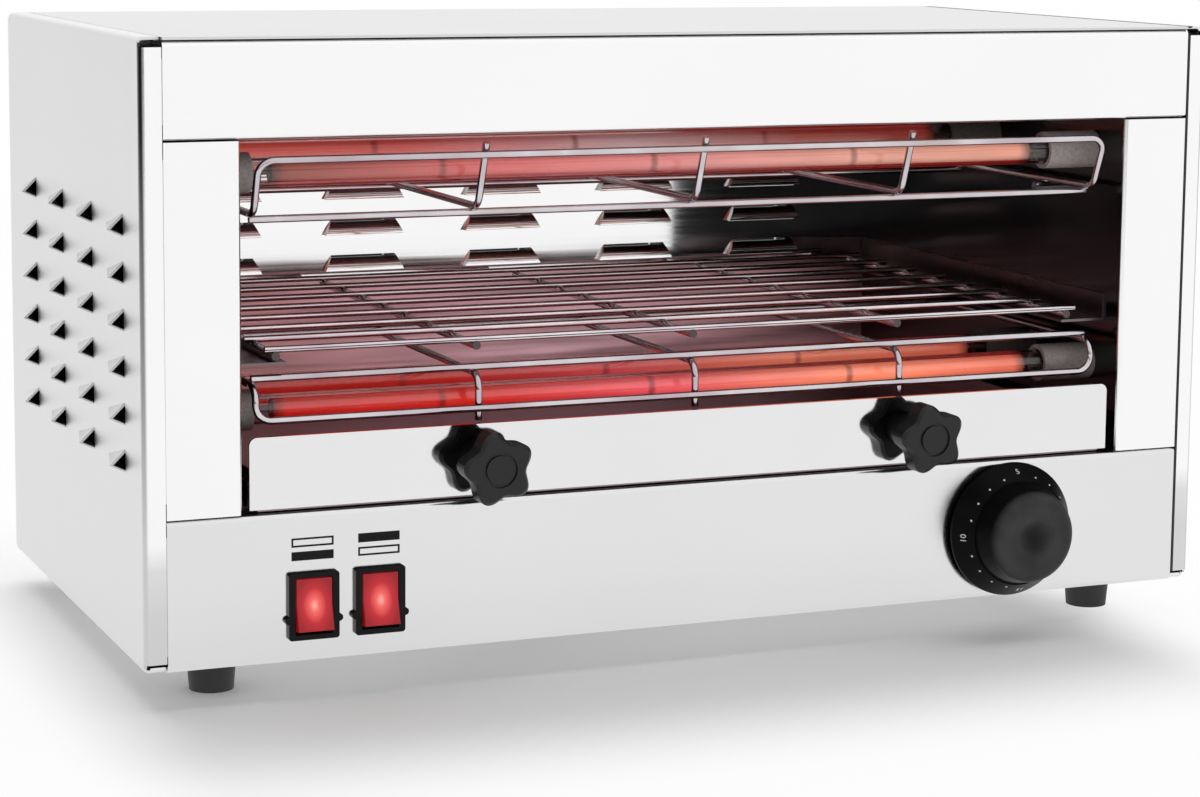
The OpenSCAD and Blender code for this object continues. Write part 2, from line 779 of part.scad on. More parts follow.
module tube_caps(y, z) {
    color([0.93, 0.92, 0.88]) tube_at(y, z) {
        tube_cap(cap_inner - tube_shift);
        rotate([0, 180, 0]) tube_cap(cap_inner + tube_shift);
    }
}
module tube_caps_upper_front() tube_caps(tube_y, upper_z);
module tube_caps_upper_rear() tube_caps(upper_rear_y, upper_z);
module tube_caps_lower_front() tube_caps(tube_y, lower_z);
module tube_caps_lower_rear() tube_caps(lower_rear_y, lower_z);

// Strap over the leads of a front and a rear tube
module link_strap(side, z, rear_y) {
    color([0.80, 0.68, 0.45]) in_case() on_side(side)
        translate([link_x, 0, z]) rotate([0, 90, 0]) difference() {
            linear_extrude(sheet_t) {
                translate([-link_w / 2, tube_y]) square([link_w, rear_y - tube_y]);
                for (y = [tube_y, rear_y]) translate([0, y]) circle(d = link_w);
            }
            for (y = [tube_y, rear_y]) translate([0, y, -1])
                cylinder(d = lead_d + 2 * tube_fit, h = sheet_t + 2);
        }
}
module link_upper_left() link_strap(-1, upper_z, upper_rear_y);
module link_upper_right() link_strap(1, upper_z, upper_rear_y);
module link_lower_left() link_strap(-1, lower_z, lower_rear_y);
module link_lower_right() link_strap(1, lower_z, lower_rear_y);

// Timer

module timer_screw_places() {
    for (s = [-1, 1]) translate([timer_cx + s * timer_screw_pitch / 2, 0, timer_z]) children();
}

module timer_body() {
    color([0.25, 0.25, 0.27]) in_case() difference() {
        translate([timer_cx - timer_w / 2, sheet_t, timer_z - timer_w / 2])
            cube([timer_w, timer_d, timer_w]);
        translate([timer_cx, sheet_t + timer_d / 2, timer_z]) facing_front()
            cylinder(d = shaft_d + 2 * run_fit, h = timer_d);
        timer_screw_places() translate([0, sheet_t + timer_d / 3, 0]) facing_front()
            cylinder(d = screw_d + 2 * run_fit, h = timer_d);
    }
}

module timer_screws() {
    color([0.7, 0.7, 0.72]) in_case() timer_screw_places() facing_front() {
        translate([0, 0, -sheet_t - timer_d / 4]) cylinder(d = screw_d, h = sheet_t + timer_d / 4);
        cylinder(d = screw_head_d, h = skirt_gap * 0.6);
    }
}

module timer_shaft() {
    color([0.75, 0.75, 0.77]) in_case() translate([timer_cx, 0, timer_z]) facing_front()
        translate([0, 0, -timer_d / 3]) cylinder(d = shaft_d, h = timer_d / 3 + knob_reach / 2);
}

// Half section of the knob: conical skirt, tapering body, rounded front edge and a dish
module knob_2d() {
    base = skirt_gap + skirt_t;
    face_r = knob_face_d / 2;
    edge = [for (a = [0 : 15 : 90])
        [face_r - knob_round + knob_round * cos(a), knob_reach - knob_round + knob_round * sin(a)]];
    dish = [for (k = [6 : -1 : 0]) [knob_recess_d / 2 * k / 6, knob_reach - knob_recess * (1 - k * k / 36)]];
    polygon(concat(
        [[0, skirt_gap], [skirt_d / 2, skirt_gap], [skirt_d / 2, skirt_gap + skirt_edge],
            [knob_base_d / 2 + 0.8, base], [knob_base_d / 2, base]],
        edge,
        dish));
}

module timer_knob() {
    color([0.06, 0.06, 0.07]) in_case() translate([timer_cx, 0, timer_z]) facing_front() difference() {
        rotate_extrude() knob_2d();
        cylinder(d = shaft_d + 2 * run_fit, h = knob_reach / 2 + 0.5);
    }
}

// Switches

module switch_at(x) in_case() translate([x, 0, switch_z]) children();

module rounded_2d(w, h, r) {
    square([w - 2 * r, h], center = true);
    square([w, h - 2 * r], center = true);
    for (sx = [-1, 1], sz = [-1, 1]) translate([sx * (w / 2 - r), sz * (h / 2 - r)]) circle(r);
}

module switch_housing(x) {
    color([0.07, 0.07, 0.08]) switch_at(x) difference() {
        union() {
            facing_front() linear_extrude(bezel_t) {
                rounded_2d(bezel_w, bezel_h, bezel_round);
                for (s = [-1, 1]) translate([s * bezel_w / 2, -nub_drop]) circle(nub_r);
            }
            mid_box(switch_w, 0, switch_d, -switch_h / 2, switch_h / 2);
            for (z = [-1, 0, 1]) translate([-3, switch_d, z * switch_h / 4 - 0.4]) cube([6, 7, 0.8]);
        }
        mid_box(bezel_mouth_w, -bezel_t - 1, well_d, -bezel_mouth_h / 2, bezel_mouth_h / 2);
        translate([0, pivot_in, 0]) rotate([0, 90, 0])
            cylinder(d = pivot_d + 2 * run_fit, h = bezel_mouth_w + 1.6, center = true);
    }
}
module switch_left() switch_housing(switch_left_x);
module switch_right() switch_housing(switch_right_x);

// Rocker with a shallow dished face, its top pressed in
module rocker(x) {
    half = rocker_h / 2;
    color([0.85, 0.10, 0.12]) switch_at(x) translate([0, pivot_in, 0]) rotate([-rocker_tilt, 0, 0]) {
        across(rocker_w) polygon([
            [-rocker_tip, -half], [-rocker_tip + rocker_dish, 0], [-rocker_tip, half],
            [0.5, half], [rocker_back, half / 3], [rocker_back, -half / 3], [0.5, -half]]);
        rotate([0, 90, 0]) cylinder(d = pivot_d, h = bezel_mouth_w + 1.2, center = true);
    }
}
module rocker_left() rocker(switch_left_x);
module rocker_right() rocker(switch_right_x);

// Cable entry

module terminal_block() {
    ways = 5;
    way_w = block_w / ways;
    ledge = block_d / 7;
    color([0.90, 0.88, 0.80]) in_case()
        translate([gland_cx - block_w / 2, case_d - block_back, 2 * sheet_t]) difference() {
            union() {
                cube([block_w, block_d, block_base]);
                for (i = [0 : ways - 1]) translate([i * way_w + sheet_t, ledge, 0])
                    cube([way_w - 2 * sheet_t, block_d - 2 * ledge, block_h]);
            }
            for (i = [0 : ways - 1], y = [block_d / 3, block_d * 2 / 3])
                translate([(i + 0.5) * way_w, y, block_base + sheet_t])
                    cylinder(d = screw_d + 1, h = block_h);
        }
}

module gland_at() in_case() translate([gland_cx, case_d - sheet_t, gland_z]) rotate([-90, 0, 0]) children();

module cable_gland() {
    color([0.10, 0.10, 0.11]) gland_at() difference() {
        union() {
            translate([0, 0, -4 * sheet_t - 4]) cylinder(d = gland_thread, h = 4 * sheet_t + 4.5);
            cylinder(d = gland_d, h = 5, $fn = 6);
            cylinder(d1 = gland_d * 0.82, d2 = gland_bore + 4, h = gland_out + sheet_t);
        }
        translate([0, 0, -20]) cylinder(d = gland_bore, h = gland_out + 40);
    }
}

module gland_nut() {
    color([0.12, 0.12, 0.13]) gland_at() difference() {
        translate([0, 0, -sheet_t - 4]) cylinder(d = gland_d, h = 4, $fn = 6);
        translate([0, 0, -10]) cylinder(d = gland_thread + 2 * run_fit, h = 20);
    }
}

// Crumb tray

module star_places() {
    for (s = [-1, 1]) translate([s * star_pitch / 2, tray_recess, star_z]) children();
}

module stud_holes(y0, y1) {
    star_places() translate([0, y1 - tray_recess, 0]) facing_front()
        cylinder(d = stud_d + 2 * run_fit, h = y1 - y0);
}

module crumb_tray() {
    color([0.83, 0.83, 0.84]) in_case() difference() {
        mid_box(2 * pan_hw, pan_y, pan_end, pan_z, pan_z + pan_h);
        mid_box(2 * (pan_hw - sheet_t), pan_y + sheet_t, pan_end - sheet_t,
            pan_z + sheet_t, pan_z + pan_h + 1);
        stud_holes(pan_y - 1, pan_y + sheet_t + 1);
    }
}

module tray_fascia() {
    top = face_z + tray_face_h;
    color([0.93, 0.93, 0.94]) in_case() difference() {
        union() {
            backwards(tray_recess, sheet_t) {
                translate([-face_hw, face_z]) square([2 * face_hw, tray_face_h - tray_round]);
                translate([-face_hw + tray_round, face_z])
                    square([2 * (face_hw - tray_round), tray_face_h]);
                for (s = [-1, 1]) translate([s * (face_hw - tray_round), top - tray_round])
                    circle(tray_round);
            }
            mid_box(2 * (face_hw - tray_round), tray_recess + sheet_t, tray_recess + 2 * sheet_t,
                top - tray_hem, top);
        }
        stud_holes(tray_recess - 1, pan_y + 1);
    }
}

// Lobed outline as one wave around a circle
module star_2d() {
    mean = star_d / 2 - star_valley / 2;
    polygon([for (i = [0 : 16 * star_lobes - 1])
        let (a = i * 360 / (16 * star_lobes), r = mean + star_valley / 2 * cos(star_lobes * a))
        r * [cos(a + star_turn), sin(a + star_turn)]]);
}

module tray_knob(side) {
    head = star_neck;
    color([0.07, 0.07, 0.08]) in_case()
        translate([side * star_pitch / 2, tray_recess, star_z]) facing_front() difference() {
            union() {
                cylinder(d = star_neck_d, h = head + 1);
                translate([0, 0, head + star_edge]) mirror([0, 0, 1])
                    linear_extrude(star_edge, scale = 1 - 2 * star_edge / star_d) star_2d();
                translate([0, 0, head + star_edge]) linear_extrude(star_t - 2 * star_edge) star_2d();
                translate([0, 0, head + star_t - star_edge])
                    linear_extrude(star_edge, scale = 1 - 2 * star_edge / star_d) star_2d();
            }
            translate([0, 0, -1]) cylinder(d = stud_d + 2 * run_fit, h = head + 1);
            translate([0, 0, head + star_t - 0.8]) difference() {
                cylinder(d = star_cap_d + 1.2, h = 2);
                translate([0, 0, -1]) cylinder(d = star_cap_d - 1.2, h = 4);
            }
        }
}
module tray_knob_left() tray_knob(-1);
module tray_knob_right() tray_knob(1);

module knob_studs() {
    inner = 2 * sheet_t;
    color([0.7, 0.7, 0.72]) in_case() star_places() facing_front() {
        translate([0, 0, -inner]) cylinder(d = stud_d, h = inner + star_neck - 1);
        translate([0, 0, -inner - stud_head_t]) cylinder(d = stud_head_d, h = stud_head_t);
    }
}

// Feet and fasteners

module foot(sx, y) {
    color([0.08, 0.08, 0.09]) translate([sx * foot_cx, front_y + y, 0]) difference() {
        cylinder(d1 = foot_sole_d, d2 = foot_top_d, h = foot_h + sheet_t);
        translate([0, 0, -1]) cylinder(d = foot_screw_d * 2 + 2, h = foot_h / 2 + 1);
        cylinder(d = foot_screw_d + 2 * run_fit, h = foot_h + 2 * sheet_t);
    }
}
module foot_front_left() foot(-1, foot_y);
module foot_front_right() foot(1, foot_y);
module foot_rear_left() foot(-1, case_d - foot_y);
module foot_rear_right() foot(1, case_d - foot_y);

module foot_screws() {
    color([0.7, 0.7, 0.72]) in_case() foot_places() {
        translate([0, 0, -foot_h / 2]) cylinder(d = foot_screw_d, h = foot_h / 2 + 2 * sheet_t + 4);
        translate([0, 0, -foot_h / 2 - foot_screw_head / 2])
            cylinder(d = 2 * foot_screw_d, h = foot_screw_head / 2);
    }
}

module back_screws() {
    color([0.75, 0.75, 0.77]) in_case()
        for (side = [-1, 1]) on_side(side) back_screw_places() rotate([-90, 0, 0]) {
            translate([0, 0, -2 * sheet_t - 4]) cylinder(d = screw_d, h = 2 * sheet_t + 4);
            cylinder(d1 = screw_head_d, d2 = screw_head_d * 0.6, h = 1.8);
        }
}

side_panel_left();
side_panel_right();
top_cover();
upper_fascia();
control_panel();
base_plate();
back_panel();
chamber_wall_left();
chamber_wall_right();
chamber_ceiling();
chamber_deck();
tray_runner_left();
tray_runner_right();
grid_rail_left();
grid_rail_right();
guard_pins();
upper_guard();
lower_guard();
quartz_tube_upper_front();
quartz_tube_upper_rear();
quartz_tube_lower_front();
quartz_tube_lower_rear();
heating_coil_upper_front();
heating_coil_upper_rear();
heating_coil_lower_front();
heating_coil_lower_rear();
tube_caps_upper_front();
tube_caps_upper_rear();
tube_caps_lower_front();
tube_caps_lower_rear();
link_upper_left();
link_upper_right();
link_lower_left();
link_lower_right();
timer_body();
timer_screws();
timer_shaft();
timer_knob();
switch_left();
switch_right();
rocker_left();
rocker_right();
terminal_block();
cable_gland();
gland_nut();
crumb_tray();
tray_fascia();
tray_knob_left();
tray_knob_right();
knob_studs();
food_grid();
foot_front_left();
foot_front_right();
foot_rear_left();
foot_rear_right();
foot_screws();
back_screws();
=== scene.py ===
# %% [markdown]
# # An open-front toaster: dressing a CAD frame in Blender
# The solids arrive at their real size, in metres. This lesson leaves every solid where it is. It adds the
# camera, the studio, a finish for each kind of surface, and the thin printed marks that a CAD model doesn't
# carry.

# %% Load the frame
import math

import bmesh
import bpy
from mathutils import Matrix, Vector


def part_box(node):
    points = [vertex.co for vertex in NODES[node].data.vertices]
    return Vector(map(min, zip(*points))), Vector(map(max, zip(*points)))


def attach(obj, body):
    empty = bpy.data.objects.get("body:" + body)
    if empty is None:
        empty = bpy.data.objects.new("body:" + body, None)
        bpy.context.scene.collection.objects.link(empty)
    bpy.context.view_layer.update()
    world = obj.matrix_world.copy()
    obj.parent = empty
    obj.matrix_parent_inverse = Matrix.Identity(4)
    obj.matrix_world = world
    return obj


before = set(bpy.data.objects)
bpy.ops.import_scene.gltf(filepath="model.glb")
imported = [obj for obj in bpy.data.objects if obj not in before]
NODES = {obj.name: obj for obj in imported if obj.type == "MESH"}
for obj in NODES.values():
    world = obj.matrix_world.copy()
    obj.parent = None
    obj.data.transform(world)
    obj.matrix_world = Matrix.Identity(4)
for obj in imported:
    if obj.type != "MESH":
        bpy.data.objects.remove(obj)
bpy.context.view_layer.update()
MM = 0.001

# %% [markdown]
# ## The camera
# A product photographer stands well back with a long lens. Shifting the lens a little, in place of some of
# the tilt, keeps the uprights of the box closer to upright. A real camera has a shift lens for this, and
# Blender's camera has shift_y. The camera's place is measured in millimetres from the lower front edge of the
# case, because that is the edge that is easiest to find in a picture.

# %% Place the camera
IMAGE_W = 1200
FOCAL_PX = 2967.3
AZIMUTH, ELEVATION, ROLL = (math.radians(a) for a in (22.795, 7.328, 0.505))
SHIFT_Y = -0.1
front_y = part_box("control_panel")[0].y
case_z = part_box("side_panel_left")[0].z
eye = Vector((-472.1 * MM, -1016.1 * MM + front_y, 277.9 * MM + case_z))

ahead = Vector((math.sin(AZIMUTH) * math.cos(ELEVATION), math.cos(AZIMUTH) * math.cos(ELEVATION),
                -math.sin(ELEVATION)))
level = Vector((math.cos(AZIMUTH), -math.sin(AZIMUTH), 0.0))
upward = level.cross(ahead)
right = math.cos(ROLL) * level + math.sin(ROLL) * upward
top = right.cross(ahead)

lens = bpy.data.cameras.new("product_camera")
lens.sensor_fit = "HORIZONTAL"
lens.sensor_width = 36.0
lens.lens = FOCAL_PX / IMAGE_W * lens.sensor_width
lens.shift_y = SHIFT_Y
lens.clip_start = 0.05
camera = bpy.data.objects.new("product_camera", lens)
bpy.context.scene.collection.objects.link(camera)
camera.matrix_world = Matrix.Translation(eye) @ Matrix((right, top, -ahead)).transposed().to_4x4()
bpy.context.scene.camera = camera
print("camera", round(lens.lens, 1), "mm lens at", [round(v, 3) for v in eye])

# %% [markdown]
# ## The studio
# Polished steel shows the room more than itself, so the room matters more than the lamps. The room is a
# white cove: white to the camera, to glass and to the first mirror reflection. A reflection of a reflection
# sees past the cove into the dark hall, and this is what makes the inside of a polished box look deep.
# The Light Path node tells these cases apart. Towards the toaster's left the cove falls into a light shade,
# so that the skins don't all mirror the same white.

# %% Build the room
world = bpy.data.worlds.new("white_cove")
bpy.context.scene.world = world
world.use_nodes = True
room = world.node_tree
room.nodes.clear()
ROOM_LIGHT = 0.45
COVE_SHADE = 0.80
HALL_DARK = 0.02


def link_math(tree, operation, first, second):
    node = tree.nodes.new("ShaderNodeMath")
    node.operation = operation
    for socket, value in zip(node.inputs, (first, second)):
        if isinstance(value, (int, float)):
            socket.default_value = value
        else:
            tree.links.new(value, socket)
    return node.outputs[0]


path = room.nodes.new("ShaderNodeLightPath")
seen = link_math(room, "MAXIMUM", path.outputs["Is Camera Ray"], path.outputs["Is Glossy Ray"])
seen = link_math(room, "MAXIMUM", seen, path.outputs["Is Transmission Ray"])
mirrored_twice = link_math(room, "GREATER_THAN", path.outputs["Glossy Depth"], 1.5)

direction = room.nodes.new("ShaderNodeTexCoord")
split = room.nodes.new("ShaderNodeSeparateXYZ")
room.links.new(direction.outputs["Generated"], split.inputs[0])
sweep = room.nodes.new("ShaderNodeMapRange")
sweep.interpolation_type = "SMOOTHSTEP"
sweep.inputs["From Min"].default_value = -0.9
sweep.inputs["From Max"].default_value = 0.1
sweep.inputs["To Min"].default_value = COVE_SHADE
sweep.inputs["To Max"].default_value = 1.0
room.links.new(split.outputs["X"], sweep.inputs["Value"])

depth_mix = room.nodes.new("ShaderNodeMix")
depth_mix.data_type = "FLOAT"
room.links.new(mirrored_twice, depth_mix.inputs[0])
room.links.new(sweep.outputs["Result"], depth_mix.inputs[2])
depth_mix.inputs[3].default_value = HALL_DARK

level_mix = room.nodes.new("ShaderNodeMix")
level_mix.data_type = "FLOAT"
room.links.new(seen, level_mix.inputs[0])
level_mix.inputs[2].default_value = ROOM_LIGHT
room.links.new(depth_mix.outputs[0], level_mix.inputs[3])

cove = room.nodes.new("ShaderNodeBackground")
cove.inputs["Color"].default_value = (1.0, 1.0, 1.0, 1.0)
room.links.new(level_mix.outputs[0], cove.inputs["Strength"])
room_out = room.nodes.new("ShaderNodeOutputWorld")
room.links.new(cove.outputs[0], room_out.inputs["Surface"])

bpy.context.scene.view_settings.view_transform = "Standard"
print("room light", ROOM_LIGHT, "with the cove shaded to", COVE_SHADE)

# %% [markdown]
# The softbox overhead is a sun lamp with a wide angle. Polished sheet that mirrored all of it would burn out
# to plain white, so most of its light comes from a lamp that mirrors don't show. A weaker twin in the same
# direction gives the edges and scoops their glints.

# %% Hang the lamps
LAMPS = (("overhead_softbox", 1.45, False), ("overhead_glint", 0.25, True))
LAMP_SPREAD = math.radians(70)
LAMP_AIM = Vector((-0.25, -0.42, -1.0))
for name, strength, in_mirrors in LAMPS:
    lamp = bpy.data.lights.new(name, "SUN")
    lamp.energy = strength
    lamp.angle = LAMP_SPREAD
    softbox = bpy.data.objects.new(name, lamp)
    bpy.context.scene.collection.objects.link(softbox)
    softbox.visible_glossy = in_mirrors
    softbox.rotation_euler = LAMP_AIM.to_track_quat("-Z", "Y").to_euler()
print("hung", len(LAMPS), "lamps")


# %% [markdown]
# ## Helpers for finishes
# Each finish is a small node tree around one Principled shader. A value that is the same all over is set
# on the shader itself. Only what varies over the surface comes through nodes: grain, tint and fine dents.
# Object coordinates are in metres here, so a noise scale can be read as features per metre.

# %% Finish helpers
def finish(name, color, roughness, metallic=0.0):
    material = bpy.data.materials.new(name)
    material.use_nodes = True
    shader = material.node_tree.nodes["Principled BSDF"]
    shader.inputs["Base Color"].default_value = (*color, 1.0)
    shader.inputs["Roughness"].default_value = roughness
    shader.inputs["Metallic"].default_value = metallic
    return material, material.node_tree, shader


def object_point(tree, stretch=(1.0, 1.0, 1.0)):
    point = tree.nodes.new("ShaderNodeTexCoord")
    mapping = tree.nodes.new("ShaderNodeMapping")
    mapping.inputs["Scale"].default_value = stretch
    tree.links.new(point.outputs["Object"], mapping.inputs["Vector"])
    return mapping.outputs["Vector"]


def axis_of(tree, letter):
    split_point = tree.nodes.new("ShaderNodeSeparateXYZ")
    tree.links.new(object_point(tree), split_point.inputs[0])
    return split_point.outputs[letter]


def noise(tree, vector, scale, detail=3.0):
    node = tree.nodes.new("ShaderNodeTexNoise")
    node.inputs["Scale"].default_value = scale
    node.inputs["Detail"].default_value = detail
    tree.links.new(vector, node.inputs["Vector"])
    return node.outputs["Fac"]


def spread(tree, value, low, high, start=0.3, end=0.7):
    node = tree.nodes.new("ShaderNodeMapRange")
    node.inputs["From Min"].default_value = start
    node.inputs["From Max"].default_value = end
    node.inputs["To Min"].default_value = low
    node.inputs["To Max"].default_value = high
    tree.links.new(value, node.inputs["Value"])
    return node.outputs["Result"]


def tint(tree, value, stops):
    ramp = tree.nodes.new("ShaderNodeValToRGB")
    while len(ramp.color_ramp.elements) < len(stops):
        ramp.color_ramp.elements.new(0.5)
    for element, (place, color) in zip(ramp.color_ramp.elements, stops):
        element.position = place
        element.color = (*color, 1.0)
    tree.links.new(value, ramp.inputs["Fac"])
    return ramp.outputs["Color"]


def relief(tree, shader, value, height):
    bump = tree.nodes.new("ShaderNodeBump")
    bump.inputs["Distance"].default_value = height
    bump.inputs["Strength"].default_value = 1.0
    tree.links.new(value, bump.inputs["Height"])
    tree.links.new(bump.outputs["Normal"], shader.inputs["Normal"])


def dress(material, *names):
    for name in names:
        slots = NODES[name].data.materials
        slots.clear()
        slots.append(material)


print("finish helpers ready")


# %% [markdown]
# ## Polished stainless sheet
# The skins are thin bright-annealed sheet. Three things keep such a sheet from looking like a mirror in a
# computer game: a very fine rolling grain along its length, slow waves from bending and spot welding, and
# faint wiping marks that change the gloss from place to place. Noise stretched along X makes the grain, and
# large soft noise makes the waves.
#
# Spot welds also leave a sheet leaning a degree or two, which you can't see on the sheet but do see in what
# it mirrors. The lean is a bump whose height grows steadily with Z.

# %% Steel finishes
def polished_sheet(name, shade, gloss, wave, lean=0.0, warm=(1.0, 1.0, 1.0)):
    color = tuple(shade * w for w in warm)
    material, tree, shader = finish(name, color, gloss, metallic=1.0)
    grain = noise(tree, object_point(tree, (6.0, 900.0, 900.0)), 1.0, 2.0)
    wiped = noise(tree, object_point(tree), 9.0, 4.0)
    tone = tint(tree, wiped, [(0.30, tuple(0.97 * c for c in color)), (0.70, color)])
    tree.links.new(tone, shader.inputs["Base Color"])
    uneven = link_math(tree, "ADD", spread(tree, grain, -0.02, 0.02), spread(tree, wiped, -0.03, 0.03))
    tree.links.new(link_math(tree, "ADD", uneven, gloss), shader.inputs["Roughness"])
    rise = link_math(tree, "MULTIPLY", noise(tree, object_point(tree), 14.0, 1.0), wave)
    if lean:
        rise = link_math(tree, "ADD", rise, link_math(tree, "MULTIPLY", axis_of(tree, "Z"), -lean))
    relief(tree, shader, rise, 1.0)
    return material, tree, shader, tone


# All these skins are one steel. Their shades differ only as painted light and shade: the fascia is painted
# lighter, and the control panel, top cover and tray fascia darker, each to how bright it looks in this room.
fascia_steel = polished_sheet("fascia_steel", 0.98, 0.20, 0.00008)[0]
panel_steel = polished_sheet("panel_steel", 0.80, 0.20, 0.00008)[0]
lid_steel = polished_sheet("lid_steel", 0.71, 0.24, 0.00008)[0]
tray_steel = polished_sheet("tray_steel", 0.82, 0.07, 0.00005)[0]
base_steel = polished_sheet("base_steel", 0.88, 0.24, 0.00008)[0]
# The chamber's ceiling and rails are painted much darker than the skins: painted shade inside the chamber.
roof_steel = polished_sheet("roof_steel", 0.45, 0.14, 0.00015)[0]
rail_steel = polished_sheet("rail_steel", 0.20, 0.30, 0.00010, warm=(1.0, 0.78, 0.80))[0]
dress(fascia_steel, "upper_fascia")
dress(panel_steel, "control_panel")
dress(lid_steel, "top_cover")
dress(tray_steel, "tray_fascia")
dress(base_steel, "base_plate")
dress(roof_steel, "chamber_ceiling")
dress(rail_steel, "tray_runner_left", "tray_runner_right", "grid_rail_left", "grid_rail_right")
print("plain steel finishes done")

# %% [markdown]
# The side panels are one sheet with their narrow front flanges. A dark line of painted shade runs along each
# fold: broad and deepest near the top on the left panel, thin and pale on the right one. The flange in front
# of it is painted brighter than the side, which is painted light, but beside the control panel it is painted
# as dull as that, which is painted shade. The broad side behind the fold is brushed. Painting each zone by
# hand would need a texture, so distances behind the front, from the middle and from the floor tell the zones
# apart instead. The right panel was sheared with a blunter tool: its cut edge is dark along the joints with
# the fascia and the top cover.

# %% Zones of the side panels
def blend_colors(tree, share, first, second):
    node = tree.nodes.new("ShaderNodeMix")
    node.data_type = "RGBA"
    sockets = (node.inputs["Factor"], node.inputs[6], node.inputs[7])
    for socket, value in zip(sockets, (share, first, second)):
        if isinstance(value, tuple):
            socket.default_value = (*value, 1.0)
        else:
            tree.links.new(value, socket)
    return node.outputs[2]


FOLD_START, FOLD_END, FOLD_BLUR = front_y + 0.2 * MM, front_y + 2.8 * MM, 0.4 * MM
SIDE_X, FOLD_FRONT, FOLD_SOFT = 220 * MM, 0.8 * MM, 1.6 * MM
# Painted shade along the folds, and painted light and shade down the flanges.
FOLD_SHADE_TONES = [(0.0, (0.62, 0.62, 0.63)), (0.20, (0.60, 0.60, 0.61)), (0.45, (0.33, 0.33, 0.34)),
              (0.75, (0.12, 0.12, 0.12)), (0.86, (0.045, 0.045, 0.045))]
FLANGE_LIGHT_AND_SHADE = [(0.10, (0.68, 0.68, 0.69)), (0.165, (0.75, 0.75, 0.76)), (0.205, (0.97, 0.97, 0.98))]
RIGHT_FOLD_SHADE = (0.55, 0.55, 0.56)
FLANGE_SHINE = 0.24
CUT_FRONT, CUT_TOP = 1.0 * MM, 4.0 * MM
case_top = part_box("side_panel_left")[1].z
print("side panels are", round((case_top - case_z) / MM, 1), "mm high")

# %% Side finish
side_steel, tree, shader, brushed = polished_sheet("side_steel", 0.84, 0.42, 0.00008)
depth_in = axis_of(tree, "Y")
height_up = spread(tree, axis_of(tree, "Z"), 0.0, 1.0, case_z, case_top)
fold_shade = tint(tree, height_up, FOLD_SHADE_TONES)
flange_light_and_shade = tint(tree, height_up, FLANGE_LIGHT_AND_SHADE)
across = axis_of(tree, "X")
on_right_fold = spread(tree, across, 0.0, 1.0, SIDE_X - FOLD_SOFT, SIDE_X - FOLD_FRONT)
flange_light_and_shade = blend_colors(tree, on_right_fold, flange_light_and_shade, RIGHT_FOLD_SHADE)
on_left_fold = spread(tree, across, 1.0, 0.0, FOLD_FRONT - SIDE_X, FOLD_SOFT - SIDE_X)
past_flange = spread(tree, depth_in, 0.0, 1.0, FOLD_START, FOLD_START + FOLD_BLUR)
on_fold = link_math(tree, "MAXIMUM", past_flange, on_left_fold)
past_fold = spread(tree, depth_in, 0.0, 1.0, FOLD_END, FOLD_END + FOLD_BLUR)
folded = blend_colors(tree, on_fold, flange_light_and_shade, fold_shade)
sheet_tone = blend_colors(tree, past_fold, folded, brushed)
cut_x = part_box("side_panel_right")[0].x
from_cut = link_math(tree, "SUBTRACT", across, cut_x)
cut_width = spread(tree, axis_of(tree, "Z"), CUT_FRONT, CUT_TOP, case_top - 1.0 * MM, case_top - 0.6 * MM)
on_cut = link_math(tree, "MULTIPLY", link_math(tree, "LESS_THAN", from_cut, cut_width),
                   link_math(tree, "GREATER_THAN", from_cut, -CUT_FRONT))
tree.links.new(blend_colors(tree, on_cut, sheet_tone, (0.05, 0.05, 0.05)), shader.inputs["Base Color"])
brushed_gloss = shader.inputs["Roughness"].links[0].from_socket
shinier = spread(tree, past_fold, FLANGE_SHINE, 0.0, 0.0, 1.0)
tree.links.new(link_math(tree, "SUBTRACT", brushed_gloss, shinier), shader.inputs["Roughness"])
dress(side_steel, "side_panel_left", "side_panel_right")
print("side finish changes", round((FOLD_END - front_y) / MM, 1), "mm behind the front")

# %% [markdown]
# The deck and the crumb tray lie under the lower tubes, and crumbs and heat have left a dull violet-brown
# stain on them. The deck runs on past the chamber walls into the side spaces, where it is painted nearly
# black as painted shade.

# %% Deck finish
chamber_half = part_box("chamber_wall_right")[0].x
VIOLET = (1.0, 0.78, 0.82)
floor_steel, tree, shader, stain = polished_sheet("floor_steel", 0.50, 0.40, 0.00015, warm=VIOLET)
aside = link_math(tree, "ABSOLUTE", axis_of(tree, "X"), 0.0)
beyond = link_math(tree, "GREATER_THAN", aside, chamber_half)
# Past the chamber walls the deck is painted nearly black: painted shade.
tree.links.new(blend_colors(tree, beyond, stain, (0.03, 0.028, 0.028)), shader.inputs["Base Color"])
dress(floor_steel, "chamber_deck", "crumb_tray")
print("deck finish changes", round(chamber_half / MM, 1), "mm from the middle")

# %% [markdown]
# The inner walls are folded from one sheet with the front posts. The posts stay as bright as the skins, and
# behind the fold the walls are painted nearly black, a painted shade inside the chamber. The Y coordinate
# tells the two apart.

# %% Wall finish
wall_steel, tree, shader, bright = polished_sheet("wall_steel", 0.97, 0.16, 0.00010)
POST_DEPTH = 1.5 * MM
behind = link_math(tree, "GREATER_THAN", axis_of(tree, "Y"), front_y + POST_DEPTH)
# Behind the posts the walls are painted nearly black: painted shade.
tree.links.new(blend_colors(tree, behind, bright, (0.08, 0.075, 0.078)), shader.inputs["Base Color"])
dress(wall_steel, "chamber_wall_left", "chamber_wall_right")
print("wall finish done")
